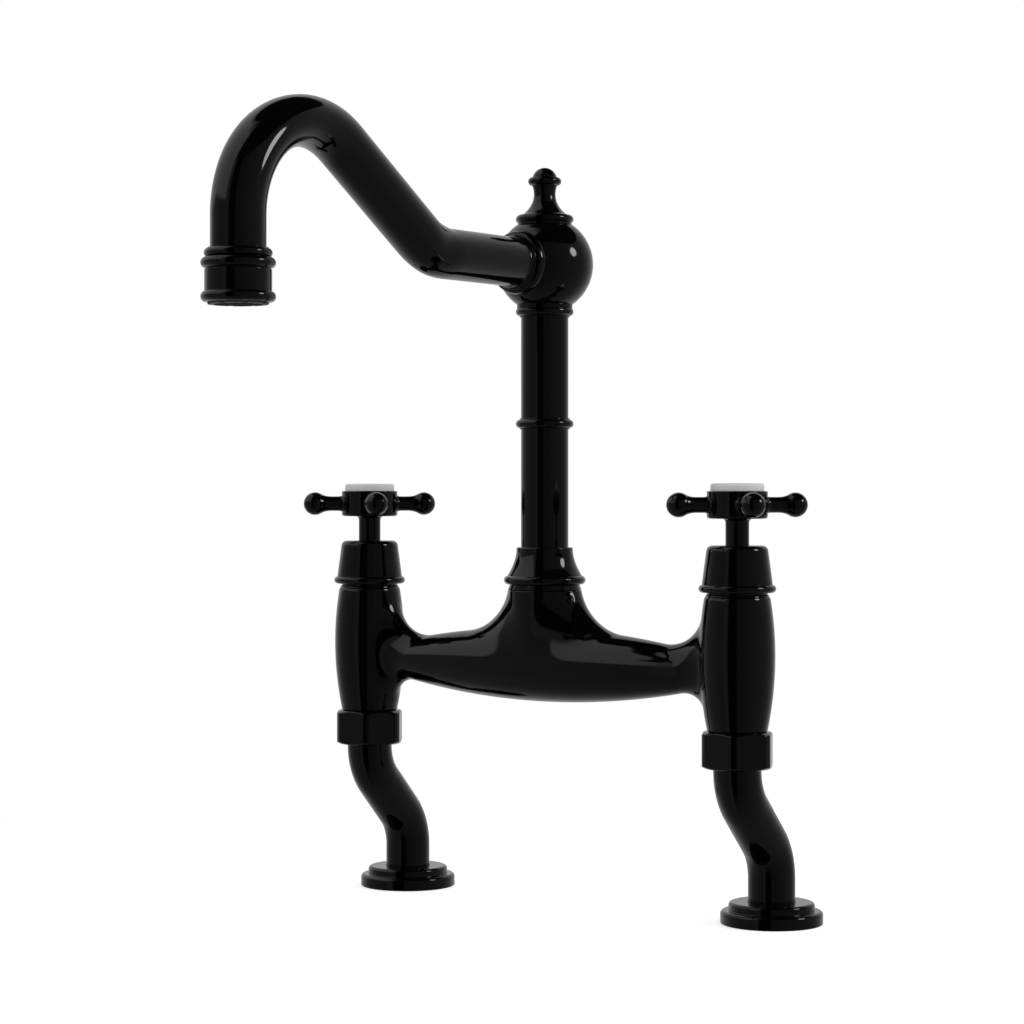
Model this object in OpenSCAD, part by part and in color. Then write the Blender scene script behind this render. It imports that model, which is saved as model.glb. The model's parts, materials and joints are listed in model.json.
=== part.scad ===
// Two-hole bridge kitchen tap with cross-head handles and a swan-neck spout.
// Millimetres, +Z up. The origin is on the worktop, midway between the two deck holes.
// X runs along the bridge, and the spout points along -Y over the sink.

/* [Layout] */
// Distance between the two valve axes, and between the two deck holes
valve_spacing = 206; // [196:1:230]
// Height of the bridge's axis above the worktop
bridge_axis_z = 114.5; // [112:0.1:140]
// Set-back of the deck holes behind the valves
leg_offset = 30.7; // [20:0.1:40]
// Distance from the post's axis to the outlet's axis
spout_reach = 216.2; // [205:0.1:260]
// Height of the spout arm's axis above the worktop
arm_axis_z = 300; // [280:1:340]

/* [Deck flanges] */
// Radius of a flange's lower step
flange_r = 23; // [20:0.5:30]
// Thickness of a flange's lower step
flange_base_h = 6; // [4:0.5:8]
// Radius of a flange's upper step
flange_step_r = 19.3; // [15:0.1:19.8]
// Thickness of a flange's upper step
flange_step_h = 3.8; // [2:0.1:6]
// Rounding of the flange's edges
flange_edge_r = 1.5; // [0.5:0.1:1.8]
// Inner radius of the seal under a flange
flange_seal_r = 14.5; // [12.5:0.5:15]
// Width of the seal under a flange
flange_seal_w = 3; // [2:0.5:4]
// Thickness of the seal under a flange
flange_seal_h = 1.6; // [1:0.1:2.5]

/* [Legs] */
// Outer radius of a leg tube
leg_r = 10.5; // [9.5:0.1:11]
// Radius of the water passage in a leg
leg_bore_r = 7; // [5:0.1:7.4]
// Centreline radius of the leg's two bends
leg_bend_r = 25; // [20:0.5:28]
// Angle of each bend
leg_bend_angle = 45; // [35:1:50]
// Length of the straight top of a leg, under the washer
leg_top_l = 7.5; // [6:0.1:14]
// Radius of the collar that the union nut pulls on
leg_collar_r = 11.8; // [11.4:0.1:11.8]
// Thickness of that collar
leg_collar_h = 3; // [2:0.1:3.4]
// Radius of the threaded inlet in a leg's foot
inlet_r = 7.6; // [7.5:0.1:8.5]
// Depth of that inlet
inlet_depth = 12; // [8:0.5:14]

/* [Union nuts] */
// Size of a union nut across its flats
nut_af = 29.8; // [29:0.1:33]
// Height of a union nut
nut_h = 16.2; // [14:0.1:20]
// Thickness of the lip under the leg's collar
nut_lip_h = 3.4; // [2:0.1:4]
// Length of the threaded spigot under a valve barrel
spigot_l = 8.2; // [6:0.1:9]
// Radius of that spigot
spigot_r = 12; // [12:0.1:12.4]
// Thickness of the fibre washer in the union
washer_h = 1.4; // [1:0.1:2]
// Turn of the left nut as it was tightened
left_nut_turn = 3; // [-30:1:30]
// Turn of the right nut as it was tightened
right_nut_turn = -4; // [-30:1:30]

/* [Bridge casting] */
// Radius of the bridge at its middle
bridge_mid_r = 16.5; // [15.5:0.1:20]
// Radius of the bridge beside a valve barrel
bridge_end_r = 9.9; // [9:0.1:13]
// Distance from a valve axis to where that radius is taken
bridge_end_inset = 27; // [24:0.5:34]
// Radius of the boss under the spout
boss_r = 16.8; // [16:0.1:17.2]
// Height of the boss above the bridge's axis
boss_rise = 34.9; // [32:0.1:40]
// Radius of the flare between the boss and the bridge
boss_fillet_r = 24; // [16:0.5:26]
// Depth of a valve barrel below the bridge's axis
barrel_drop = 25.7; // [24:0.1:32]
// Radius of a valve barrel at its foot
barrel_foot_r = 13.3; // [12.6:0.1:14.5]
// Radius of a valve barrel at its widest
barrel_belly_r = 16.8; // [15.5:0.1:19]
// Height of the widest place above the bridge's axis
barrel_belly_rise = 7.7; // [0:0.1:12]
// Radius of a valve barrel at its top
barrel_top_r = 14.3; // [14.1:0.1:16]
// Radius of the blend above the bridge, where it meets a barrel
barrel_fillet_top = 22; // [12:0.5:23]
// Radius of the blend below the bridge, where it meets a barrel
barrel_fillet_under = 13; // [6:0.5:14]
// Radius of the water passage along the bridge
waterway_r = 4.5; // [3:0.1:4.8]

/* [Bonnets] */
// Height of a bonnet above its barrel
bonnet_h = 21.6; // [20:0.1:26]
// Radius of a bonnet above its bead
bonnet_base_r = 15.45; // [15:0.05:17]
// Radius of a bonnet at its top
bonnet_top_r = 13.4; // [12.9:0.05:15]
// Rounding of a bonnet's top edge
bonnet_edge_r = 2.6; // [1:0.1:3]
// Outer radius of the bead round a bonnet
bonnet_bead_r = 16.9; // [16.4:0.1:19]
// Half the thickness of that bead
bonnet_bead_t = 1.75; // [1.4:0.05:2.2]
// Height of the bead above the barrel
bonnet_bead_rise = 2.5; // [2:0.1:3]

/* [Valve cartridges] */
// Outer radius of a cartridge in its barrel
cartridge_r = 9; // [8.6:0.1:9.4]
// Radius of the cartridge's disc chamber
chamber_r = 8; // [7:0.1:8.1]
// Size of the cartridge's hexagon across its flats
cartridge_af = 20.6; // [18:0.1:21]
// Height of the cartridge's hexagon
cartridge_hex_h = 5; // [3:0.5:6]
// Radius of the cartridge's neck
cartridge_neck_r = 6.5; // [5.5:0.1:8]
// Height of the neck above the hexagon
cartridge_neck_h = 8.6; // [6:0.1:9]
// Thickness of each ceramic disc
disc_h = 3; // [2:0.1:3.2]
// Radius of the ports in the ceramic discs
port_r = 2.2; // [1:0.1:2.4]
// Distance of the ports from the valve's axis
port_offset = 4.6; // [4:0.1:5]
// Radius of the spindle in the cartridge
spindle_r = 4; // [3.8:0.1:4.4]
// Radius of the spindle's top, which drives the handle
spindle_top_r = 3.6; // [3.2:0.1:3.7]

/* [Handles] */
// Height of the handle arms' axis above the bonnet
handle_rise = 17.95; // [17:0.05:24]
// Radius of the hub
hub_r = 13.5; // [13:0.1:16]
// Height of the hub
hub_h = 12.2; // [11.6:0.1:16]
// Radius of the stem below the hub
stem_r = 5.25; // [4.8:0.05:6]
// Radius of the arms' narrow part
arm_neck_r = 3.4; // [2.5:0.1:4.2]
// Radius of the ball at the end of an arm
arm_ball_r = 5.3; // [4.6:0.1:5.6]
// Distance of the balls' centres from the valve's axis
arm_ball_offset = 26.6; // [25:0.1:32]
// Number of arms on a handle
arm_count = 4; // [3:1:5]
// Radius of the porcelain index disc
index_r = 12.05; // [10:0.05:12.2]
// Height of the index disc above the hub
index_rise = 3.6; // [2:0.1:5]
// Depth of the recess that holds the index disc
index_recess = 2; // [1:0.1:2.4]

/* [Post and swivel] */
// Outer radius of the post tube
post_r = 11; // [10.8:0.05:11.2]
// Wall of the post tube
post_wall = 2.5; // [2.3:0.1:3]
// Outer radius of the beads on the post
bead_r = 13.4; // [13.2:0.1:16]
// Half the thickness of those beads
bead_t = 2; // [1.2:0.1:2.2]
// Height of the middle bead above the worktop
band_z = 226.2; // [190:0.2:240]
// Height of the spout collar above the boss
collar_h = 19.6; // [17:0.1:26]
// Radius of the collar's bead
collar_bead_r = 18.7; // [18.2:0.1:21]
// Radius of the collar above its bead
collar_base_r = 17.1; // [16:0.1:18]
// Radius of the collar at its top
collar_top_r = 12.8; // [12.4:0.1:14]

/* [Ball joint and finial] */
// Radius of the ball joint
ball_r = 22; // [21:0.1:26]
// Radius of the flats where rings sit on the ball
ball_flat_r = 12; // [11.6:0.1:12.5]
// Height of the finial above the ball's flat
finial_h = 26.6; // [24:0.1:34]
// Radius of the finial's neck
finial_neck_r = 4.9; // [4:0.1:6]
// Radius of the finial's small bead
finial_bead_r = 7.4; // [6.6:0.1:9]
// Radius of the finial's round tip
finial_tip_r = 5.5; // [4.5:0.1:6.5]

/* [Swan-neck spout] */
// Outer radius of the spout tube
spout_r = 11; // [10.5:0.05:11.2]
// Wall of the spout tube
spout_wall = 1.6; // [1.2:0.1:2.5]
// Centreline radius of the bend that lifts the arm
elbow_r = 39.9; // [20:0.1:45]
// Slope of the arm's rising part
rise_angle = 33.6; // [28:0.1:38]
// Centreline radius of the crook
crook_r = 42.2; // [36:0.1:48]
// How much thinner the tube is across the middle of the crook, where its bending flattened it
crook_flattening = 1.4; // [0:0.1:2]
// Height of the crook's centre above the arm's axis
crook_rise = 5.2; // [2:0.1:10]
// Radius of the arm collar's first step, against the ball
arm_collar_r = 14.5; // [14:0.1:16]
// Length of that step
arm_collar_l = 7; // [5:0.1:9]
// Radius of the arm collar's second step
arm_collar_step_r = 12.9; // [12.6:0.1:14]
// Length of that step, and of the flare in front of it
arm_collar_step_l = 2.4; // [1.6:0.1:4]

/* [Nozzle and aerator] */
// Height of the outlet's lower edge below the arm's axis
outlet_drop = 30; // [29:0.1:44]
// Radius of the nozzle's beads
nozzle_bead_r = 14.9; // [14.4:0.1:18]
// Half the thickness of those beads
nozzle_bead_t = 2.3; // [1.6:0.1:2.5]
// Radius of the small bead above them
nozzle_small_bead_r = 13.55; // [13.2:0.05:16]
// Half the thickness of that small bead
nozzle_small_bead_t = 2; // [1.4:0.1:2.2]
// Outer radius of the aerator housing
aerator_r = 13.3; // [13:0.1:15]
// Height of the aerator housing
aerator_h = 13.3; // [12:0.1:18]
// Rings of holes in the aerator
aerator_rings = 3; // [1:1:3]

/* [Fits] */
// Radial clearance of a shaft that turns
running_fit = 0.05; // [0.03:0.01:0.09]
// Radial clearance of a piece that is fixed in another
slip_fit = 0.03; // [0.02:0.01:0.1]
// Gap between a turning piece and its neighbour's face
face_gap = 0.1; // [0.05:0.05:0.3]
// Open gap round a handle's stem
stem_gap = 0.4; // [0.3:0.1:0.8]

/* [Hidden] */
$fn = 96;
left = -1;
right = 1;
half_spacing = valve_spacing / 2;
overcut = 1;
sink_in = 0.4;
tube_sides = 32;

// Heights of the casting
barrel_bottom_z = bridge_axis_z - barrel_drop;
barrel_belly_z = bridge_axis_z + barrel_belly_rise;
barrel_top_z = bridge_axis_z + boss_rise;
bridge_ref_x = half_spacing - bridge_end_inset;

// Heights of the union, from the barrel down
spigot_bottom_z = barrel_bottom_z - spigot_l;
leg_top_z = spigot_bottom_z - washer_h;
nut_bottom_z = barrel_bottom_z - nut_h;
nut_bore_r = spigot_r + slip_fit;
leg_slant_l = (leg_offset - 2 * leg_bend_r * (1 - cos(leg_bend_angle))) / sin(leg_bend_angle);
leg_bend_h = 2 * leg_bend_r * sin(leg_bend_angle) + leg_slant_l * cos(leg_bend_angle);
leg_foot_l = leg_top_z - leg_top_l - leg_bend_h;

// Heights of the valve, from its seat up
seat_z = bridge_axis_z - 3.2;
seat_throat_r = 5;
barrel_inlet_r = leg_bore_r + 0.5;
seal_h = 1.3;
fixed_disc_z = seat_z + face_gap + seal_h;
moving_disc_z = fixed_disc_z + disc_h + face_gap / 2;
drive_z = moving_disc_z + disc_h;
drive_h = 3.5;
chamber_top_z = drive_z + drive_h + 0.5;
gallery_r = cartridge_r + 2;
hex_top_z = barrel_top_z + cartridge_hex_h;
neck_top_z = hex_top_z + cartridge_neck_h;
bonnet_top_z = barrel_top_z + bonnet_h;
bonnet_cavity_r = cartridge_af / 2 / cos(30) + 0.6;
bonnet_upper_cavity_r = bonnet_cavity_r - 1.3;
bonnet_roof = 3.5;
oring_z = neck_top_z - 5;
oring_t = 0.45;

// Heights of the handle
handle_z = bonnet_top_z + handle_rise;
hub_bottom_z = handle_z - hub_h / 2;
hub_top_z = handle_z + hub_h / 2;
index_z = hub_top_z - index_recess;
stem_bottom_z = neck_top_z + 1.5;
screw_seat_z = index_z - 3;
spindle_top_z = screw_seat_z - 3;
screw_r = 2;
screw_head_r = 4;
screw_l = 9;

// Heights of the swivel, from the post's foot up
post_foot_z = bridge_axis_z + 6.8;
post_bore_r = post_r - post_wall;
swivel_recess_r = post_r + 2.2;
ring_seat_z = barrel_top_z - 6.4;
bearing_ring_h = 1.5;
circlip_z = ring_seat_z + bearing_ring_h + face_gap;
circlip_h = 2;
circlip_groove_r = post_r - 0.9;
post_oring_t = 0.65;
post_oring_z = [post_foot_z + 6, post_foot_z + 12];
post_groove_r = post_r - 2 * post_oring_t - 0.05;

// The ball joint and what sits on it
ball_z = arm_axis_z;
ball_flat = sqrt(pow(ball_r, 2) - pow(ball_flat_r, 2));
ball_front = sqrt(pow(ball_r, 2) - pow(arm_collar_r + 0.1, 2));
socket_depth = ball_flat - 0.73 * post_r;
finial_z = ball_z + ball_flat;
finial_stud_r = 4;
finial_stud_l = 7.5;
ring_z = ball_z - ball_flat;

// The spout's centreline, as distances from the ball's centre
crook_y = spout_reach - crook_r;
rise_start_z = elbow_r * (1 - cos(rise_angle));
rise_end_z = crook_rise + crook_r * cos(rise_angle);
rise_l = (rise_end_z - rise_start_z) / sin(rise_angle);
arm_l = crook_y - crook_r * sin(rise_angle) - rise_l * cos(rise_angle) - elbow_r * sin(rise_angle);
arm_start = ball_front - 4.2;
spout_bore_r = spout_r - spout_wall;

// Heights of the nozzle, from the outlet up
outlet_z = arm_axis_z - outlet_drop;
housing_top_z = outlet_z + aerator_h;
sleeve_h = 8.3;
tube_end_z = housing_top_z + 1.7;
nozzle_thread_r = 11.5;
nozzle_thread_l = 6.3;
screen_rim_r = 12.2;
screen_r = 10.9;
screen_seat_z = outlet_z + 2;
screen_top_z = housing_top_z - nozzle_thread_l - 1.1;
screen_drop = 0.7;

// Points of a circular arc
function arc(cx, cz, r, from, to, steps = 8) =
    [for (i = [0:steps]) let (a = from + (to - from) * i / steps) [cx + r * cos(a), cz + r * sin(a)]];

// Radius of the bridge at a distance from its middle
function bridge_radius(x) = bridge_mid_r - (bridge_mid_r - bridge_end_r) * pow(x / bridge_ref_x, 2);

// Radius of a valve barrel at a height
function barrel_radius(z) = let (
    end_r = z < barrel_belly_z ? barrel_foot_r : barrel_top_r,
    end_z = z < barrel_belly_z ? barrel_bottom_z : barrel_top_z)
    barrel_belly_r - (barrel_belly_r - end_r) * pow((z - barrel_belly_z) / (end_z - barrel_belly_z), 2);

// Places a piece on a valve's axis, or on its deck hole
module at_valve(side) translate([side * half_spacing, -leg_offset, 0]) children();
module at_deck_hole(side) translate([side * half_spacing, 0, 0]) children();
module at_post() translate([0, -leg_offset, 0]) children();

// A round bead on a turned piece
module bead(r, t, z) translate([0, 0, z]) rotate_extrude() translate([r - t, 0]) circle(t);

// A round tube from one height to another
module pipe(outer, inner, low, high) {
    difference() {
        translate([0, 0, low]) cylinder(h = high - low, r = outer);
        translate([0, 0, low - overcut]) cylinder(h = high - low + 2 * overcut, r = inner);
    }
}

// A vertical hole
module hole(r, low, high) translate([0, 0, low]) cylinder(h = high - low, r = r);

// A piece turned from a profile of radius and height points
module turned(points) rotate_extrude() polygon(points);

// Points of a flat path as distance along, height and heading; a turn to the right or to the left
function turn_right(along, up, r, from, to, steps) =
    [for (i = [0:steps]) let (h = from + (to - from) * i / steps) [along - r * sin(h), up + r * cos(h), h]];
function turn_left(along, up, r, from, to, steps) =
    [for (i = [0:steps]) let (h = from + (to - from) * i / steps) [along + r * sin(h), up - r * cos(h), h]];

// A ring of points square to the path, thinner by its fourth value if it has one
function tube_ring(p, r) = let (flat = len(p) > 3 ? p[3] / 2 : 0)
    [for (i = [0:tube_sides - 1]) let (a = 360 * i / tube_sides, across = (r - flat) * cos(a))
        [p.x - across * sin(p.z), (r + flat / 2) * sin(a), p.y + across * cos(p.z)]];

// A tube skinned out along the path and back inside it
module swept_tube(path, outer, inner) {
    n = len(path);
    rotate([0, 0, -90]) skinned(concat([for (p = path) tube_ring(p, outer)],
        [for (i = [n - 1:-1:0]) tube_ring(path[i], inner)]), true);
}

// Bridge casting: two barrels, and between them a bellied bar that flares up into the boss.
// Distances from a point to the bar, the boss and the nearer barrel.
// x is from the middle of the bar, and z is from its axis.
function bar_gap(x, y, z) = norm([y, z]) - bridge_radius(x);
function boss_gap(x, y) = norm([x, y]) - boss_r;
function barrel_gap(x, y, z) = norm([half_spacing - abs(x), y]) - barrel_radius(bridge_axis_z + z) + sink_in;

// Two forms joined with a round blend of radius r where they meet square to each other
function blended(a, b, r) = max(r, min(a, b)) - norm([max(r - a, 0), max(r - b, 0)]);

// How far a blend is needed: none where the bar's side and the upright form's side already lie alike
function squareness(x, y, z) = 1 - pow(y * y / (norm([y, z]) * norm([x, y]) + 0.001), 2);

// The casting's skin lies where this is zero
function casting(x, y, z) =
    let (boss_blend = boss_fillet_r * squareness(x, y, z) * max(0, min(1, z / (0.6 * bridge_mid_r))),
         barrel_blend = ((barrel_fillet_top + barrel_fillet_under) / 2
             + (barrel_fillet_top - barrel_fillet_under) / 2 * z / max(norm([y, z]), 0.001))
             * squareness(half_spacing - abs(x), y, z),
         middle = z > 0 ? blended(bar_gap(x, y, z), boss_gap(x, y), boss_blend) : bar_gap(x, y, z))
    abs(x) < half_spacing / 2 ? middle : blended(middle, barrel_gap(x, y, z), barrel_blend);

// Where a ray from the bar's axis leaves the casting, found by halving; the angle is from straight up.
// Beside a barrel the rays stop short of the barrel's foot, which the union nut seats on.
function ray_end(x, a, low, high, steps) = steps == 0 ? (low + high) / 2
    : let (mid = (low + high) / 2)
      casting(x, mid * sin(a), mid * cos(a)) < 0
          ? ray_end(x, a, mid, high, steps - 1)
          : ray_end(x, a, low, mid, steps - 1);
function ray_limit(x, a) = abs(x) > half_spacing / 2
    ? min(bridge_end_r + barrel_fillet_top, (barrel_drop - sink_in) / max(-cos(a), 0.01))
    : cos(a) > 0.01 ? min(boss_rise / cos(a), 3 * boss_r) : 3 * boss_r;
function skin_point(x, a) = let (limit = ray_limit(x, a),
    r = casting(x, limit * sin(a), limit * cos(a)) < 0 ? limit : ray_end(x, a, 0, limit, 20))
    [x, r * sin(a), r * cos(a)];

// Half-width of the boss's flat top at x, or zero past it
function top_edge(x, low, high, steps) = casting(x, 0, boss_rise) >= 0 ? 0
    : steps == 0 ? low
    : let (mid = (low + high) / 2)
      casting(x, mid, boss_rise) < 0 ? top_edge(x, mid, high, steps - 1) : top_edge(x, low, mid, steps - 1);

// One upright section of the skin, with a point on each edge of the boss's top
function skin_section(x) =
    let (top = 3, side = 19,
         edge = abs(x) > half_spacing / 2 ? 0 : top_edge(x, 0, 2 * boss_r, 20),
         corner = edge > 0.6 ? atan2(edge, boss_rise) : 8,
         angles = concat([for (i = [0:top]) corner * i / top],
             [for (i = [1:side]) corner + (180 - corner) * i / side]),
         n = len(angles))
    concat([for (a = angles) skin_point(x, a)], [for (i = [n - 2:-1:1]) skin_point(x, -angles[i])]);

// Places of the sections, closer together where the skin turns fast
function steps_between(from, to, n) = [for (i = [1:n]) from + (to - from) * i / n];
skin_x = concat(
    steps_between(0, boss_r - 1, 7), steps_between(boss_r - 1, boss_r + 4, 8),
    steps_between(boss_r + 4, boss_r + boss_fillet_r, 7),
    steps_between(boss_r + boss_fillet_r, half_spacing - barrel_belly_r - barrel_fillet_top, 4),
    steps_between(half_spacing - barrel_belly_r - barrel_fillet_top, half_spacing - barrel_belly_r / 2, 11));

// Skins a row of closed sections into a solid, closed into a ring or with flat ends
module skinned(sections, ring) {
    n = len(sections[0]);
    rows = len(sections);
    points = [for (s = sections) for (p = s) p];
    sides = [for (j = [0:ring ? rows - 1 : rows - 2]) for (i = [0:n - 1])
        let (k = (j + 1) % rows, m = (i + 1) % n) each [
            [j * n + i, k * n + m, k * n + i],
            [j * n + i, j * n + m, k * n + m]]];
    ends = ring ? [] : [[for (i = [n - 1:-1:0]) i], [for (i = [0:n - 1]) (rows - 1) * n + i]];
    polyhedron(points, concat(sides, ends), convexity = 6);
}

module bridge_skin() at_post() translate([0, 0, bridge_axis_z]) {
    n = len(skin_x);
    skinned([for (x = concat([for (i = [n - 1:-1:0]) -skin_x[i]], [0], skin_x)) skin_section(x)], false);
}

module barrel_outside() {
    steps = 20;
    points = [for (i = [0:steps]) let (z = barrel_bottom_z + (barrel_top_z - barrel_bottom_z) * i / steps)
        [barrel_radius(z), z]];
    turned(concat([[0, barrel_bottom_z]], points, [[0, barrel_top_z]]));
    hole(spigot_r, spigot_bottom_z, barrel_bottom_z);
}

module barrel_inside() {
    hole(barrel_inlet_r, spigot_bottom_z - overcut, seat_z - 6);
    hole(seat_throat_r, seat_z - 7, seat_z + overcut);
    hole(cartridge_r + slip_fit, seat_z, barrel_top_z + overcut);
    hole(gallery_r, seat_z + 1, chamber_top_z);
}

module bridge_body() color("#161616") {
    difference() {
        union() {
            bridge_skin();
            for (side = [left, right]) at_valve(side) barrel_outside();
        }
        for (side = [left, right]) at_valve(side) barrel_inside();
        at_post() {
            translate([0, 0, bridge_axis_z]) rotate([0, 90, 0])
                cylinder(h = valve_spacing - 2 * gallery_r + 2 * overcut, r = waterway_r, center = true);
            hole(post_bore_r, bridge_axis_z, post_foot_z);
            hole(post_r + running_fit, post_foot_z - face_gap, barrel_top_z + overcut);
            hole(swivel_recess_r, ring_seat_z, barrel_top_z + overcut);
        }
    }
}

// Legs, union nuts and washers
leg_path = concat([[0, 0, 90]],
    turn_right(leg_bend_r, leg_foot_l, leg_bend_r, 90, 90 - leg_bend_angle, 6),
    turn_left(leg_offset - leg_bend_r, leg_top_z - leg_top_l, leg_bend_r, 90 - leg_bend_angle, 90, 6),
    [[leg_offset, leg_top_z, 90]]);

module leg(side) color("#161616") at_deck_hole(side) difference() {
    union() {
        swept_tube(leg_path, leg_r, leg_bore_r);
        translate([0, -leg_offset, 0]) pipe(leg_collar_r, leg_r - 1, leg_top_z - leg_collar_h, leg_top_z);
    }
    hole(inlet_r, -overcut, inlet_depth);
}

module union_nut(side, turn) color("#161616") at_valve(side) {
    corner_r = nut_af / 2 / cos(30);
    flat_r = nut_af / 2;
    chamfer = (corner_r - flat_r) * 0.6;
    difference() {
        intersection() {
            rotate([0, 0, turn]) translate([0, 0, nut_bottom_z]) cylinder(h = nut_h, r = corner_r, $fn = 6);
            turned([[0, nut_bottom_z], [flat_r, nut_bottom_z], [corner_r, nut_bottom_z + chamfer],
                    [corner_r, barrel_bottom_z - chamfer], [flat_r, barrel_bottom_z], [0, barrel_bottom_z]]);
        }
        hole(leg_r + 5 * slip_fit, nut_bottom_z - overcut, barrel_bottom_z);
        hole(nut_bore_r, nut_bottom_z + nut_lip_h, barrel_bottom_z + overcut);
    }
}

module union_washer(side) color("#7a2f22") at_valve(side)
    pipe(leg_collar_r, barrel_inlet_r, leg_top_z, spigot_bottom_z);

// Deck flanges and their seals
module flange(side) color("#161616") at_deck_hole(side) {
    top_z = flange_base_h + flange_step_h;
    e = flange_edge_r;
    difference() {
        turned(concat([[leg_r + 5 * slip_fit, 0], [flange_r - 0.6, 0], [flange_r, 0.6]],
            arc(flange_r - e, flange_base_h - e, e, 0, 90, 6), [[flange_step_r, flange_base_h]],
            arc(flange_step_r - e, top_z - e, e, 0, 90, 6), [[leg_r + 5 * slip_fit, top_z]]));
        pipe(flange_seal_r + flange_seal_w + slip_fit, flange_seal_r - slip_fit, -overcut, flange_seal_h);
    }
}

module flange_seal(side) color("#2b2b2b") at_deck_hole(side)
    pipe(flange_seal_r + flange_seal_w, flange_seal_r, 0, flange_seal_h);

// Valve bonnets and cartridges
module bonnet(side) color("#161616") at_valve(side) {
    e = bonnet_edge_r;
    lean = atan((bonnet_base_r - bonnet_top_r) / bonnet_h);
    shoulder_z = hex_top_z + 1;
    roof_z = bonnet_top_z - bonnet_roof;
    difference() {
        union() {
            turned(concat([[0, barrel_top_z], [barrel_top_r, barrel_top_z],
                [barrel_top_r, barrel_top_z + bonnet_bead_rise],
                [bonnet_base_r, barrel_top_z + bonnet_bead_rise + bonnet_bead_t]],
                arc(bonnet_top_r - e, bonnet_top_z - e, e, lean, 90, 6), [[0, bonnet_top_z]]));
            bead(bonnet_bead_r, bonnet_bead_t, barrel_top_z + bonnet_bead_rise);
        }
        hole(bonnet_cavity_r, barrel_top_z - overcut, shoulder_z);
        hole(bonnet_upper_cavity_r, barrel_top_z, roof_z);
        hole(stem_r + stem_gap, roof_z - overcut, bonnet_top_z + overcut);
    }
}

module cartridge(side) color("#c8a24a") at_valve(side) {
    window_z = moving_disc_z + 1;
    difference() {
        union() {
            hole(cartridge_r, seat_z + face_gap, barrel_top_z);
            translate([0, 0, barrel_top_z])
                cylinder(h = cartridge_hex_h, r = cartridge_af / 2 / cos(30), $fn = 6);
            hole(cartridge_neck_r, hex_top_z, neck_top_z);
        }
        hole(chamber_r, seat_z, chamber_top_z);
        hole(spindle_r + running_fit, seat_z, neck_top_z + overcut);
        for (a = [0, 90]) translate([0, 0, window_z]) rotate([90, 0, a])
            cylinder(h = 2 * gallery_r, r = port_r, center = true);
    }
}

module seat_seal(side) color("#2b2b2b") at_valve(side)
    pipe(chamber_r - slip_fit, seat_throat_r + 1, seat_z, fixed_disc_z);

// A ceramic disc with two ports, turned by an angle
module ceramic_disc(z, r, turn) rotate([0, 0, turn]) difference() {
    hole(r, z, z + disc_h);
    for (s = [-1, 1]) translate([s * port_offset, 0, 0]) hole(port_r, z - overcut, z + disc_h + overcut);
}

module fixed_disc(side) color("#e9e6df") at_valve(side)
    ceramic_disc(fixed_disc_z, chamber_r - slip_fit, 0);

module moving_disc(side) color("#d8d4ca") at_valve(side)
    ceramic_disc(moving_disc_z, chamber_r - running_fit, 90);

module spindle(side) color("#c8a24a") at_valve(side) {
    difference() {
        union() {
            hole(chamber_r - 4 * running_fit, drive_z, drive_z + drive_h);
            hole(spindle_r, drive_z, stem_bottom_z);
            hole(spindle_top_r, stem_bottom_z, spindle_top_z);
        }
        pipe(spindle_r + overcut, spindle_r - 2 * oring_t - 0.05, oring_z - 0.65, oring_z + 0.65);
        hole(screw_r, screw_seat_z - screw_l - overcut, spindle_top_z + overcut);
    }
}

module spindle_oring(side) color("#2b2b2b") at_valve(side) bead(spindle_r, oring_t, oring_z);

// Cross-head handles: an arm is a narrow neck that swells into its ball, tangent to it where they join
module handle_arm() {
    join_x = arm_ball_offset - arm_ball_r / 2;
    join_r = sqrt(pow(arm_ball_r, 2) - pow(arm_ball_offset - join_x, 2));
    neck_x = hub_r + 4.5;
    swell_l = join_x - neck_x;
    power = (arm_ball_offset - join_x) / join_r * swell_l / (join_r - arm_neck_r);
    start_x = stem_r + 3;
    rotate([0, 90, 0]) turned(concat([[0, start_x], [arm_neck_r, start_x], [arm_neck_r, neck_x]],
        [for (i = [1:8]) let (f = i / 8)
            [arm_neck_r + (join_r - arm_neck_r) * pow(f, power), neck_x + swell_l * f]],
        [for (i = [1:10]) let (a = 120 * (1 - i / 10))
            [arm_ball_r * sin(a), arm_ball_offset + arm_ball_r * cos(a)]]));
}

module handle(side) color("#161616") at_valve(side) {
    e = 1.2;
    f = 1.8;
    difference() {
        union() {
            turned(concat([[0, stem_bottom_z], [stem_r, stem_bottom_z]],
                arc(stem_r + f, hub_bottom_z - f, f, 180, 90, 5),
                arc(hub_r - e, hub_bottom_z + e, e, -90, 0, 5),
                arc(hub_r - 0.4, hub_top_z - 0.4, 0.4, 0, 90, 3), [[0, hub_top_z]]));
            for (i = [0:arm_count - 1])
                translate([0, 0, handle_z]) rotate([0, 0, 45 + i * 360 / arm_count]) handle_arm();
        }
        hole(index_r + slip_fit, index_z, hub_top_z + overcut);
        hole(screw_head_r + 0.4, screw_seat_z, index_z + overcut);
        hole(screw_r + 0.1, spindle_top_z - overcut, screw_seat_z + overcut);
        hole(spindle_top_r + slip_fit, stem_bottom_z - overcut, spindle_top_z);
    }
}

module handle_screw(side) color("#b9b9b9") at_valve(side) difference() {
    union() {
        hole(screw_r - slip_fit, screw_seat_z - screw_l, screw_seat_z);
        hole(screw_head_r, screw_seat_z, screw_seat_z + 2.4);
    }
    translate([0, 0, screw_seat_z + 1.2]) cylinder(h = 2, r = 1.9, $fn = 6);
}

module index(side) color("#f2f1ec") at_valve(side) {
    e = 1.2;
    top_z = hub_top_z + index_rise;
    turned(concat([[0, index_z], [index_r, index_z]],
        arc(index_r - e - 0.2, top_z - e, e, 0, 90, 6), [[0, top_z]]));
}

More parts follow.
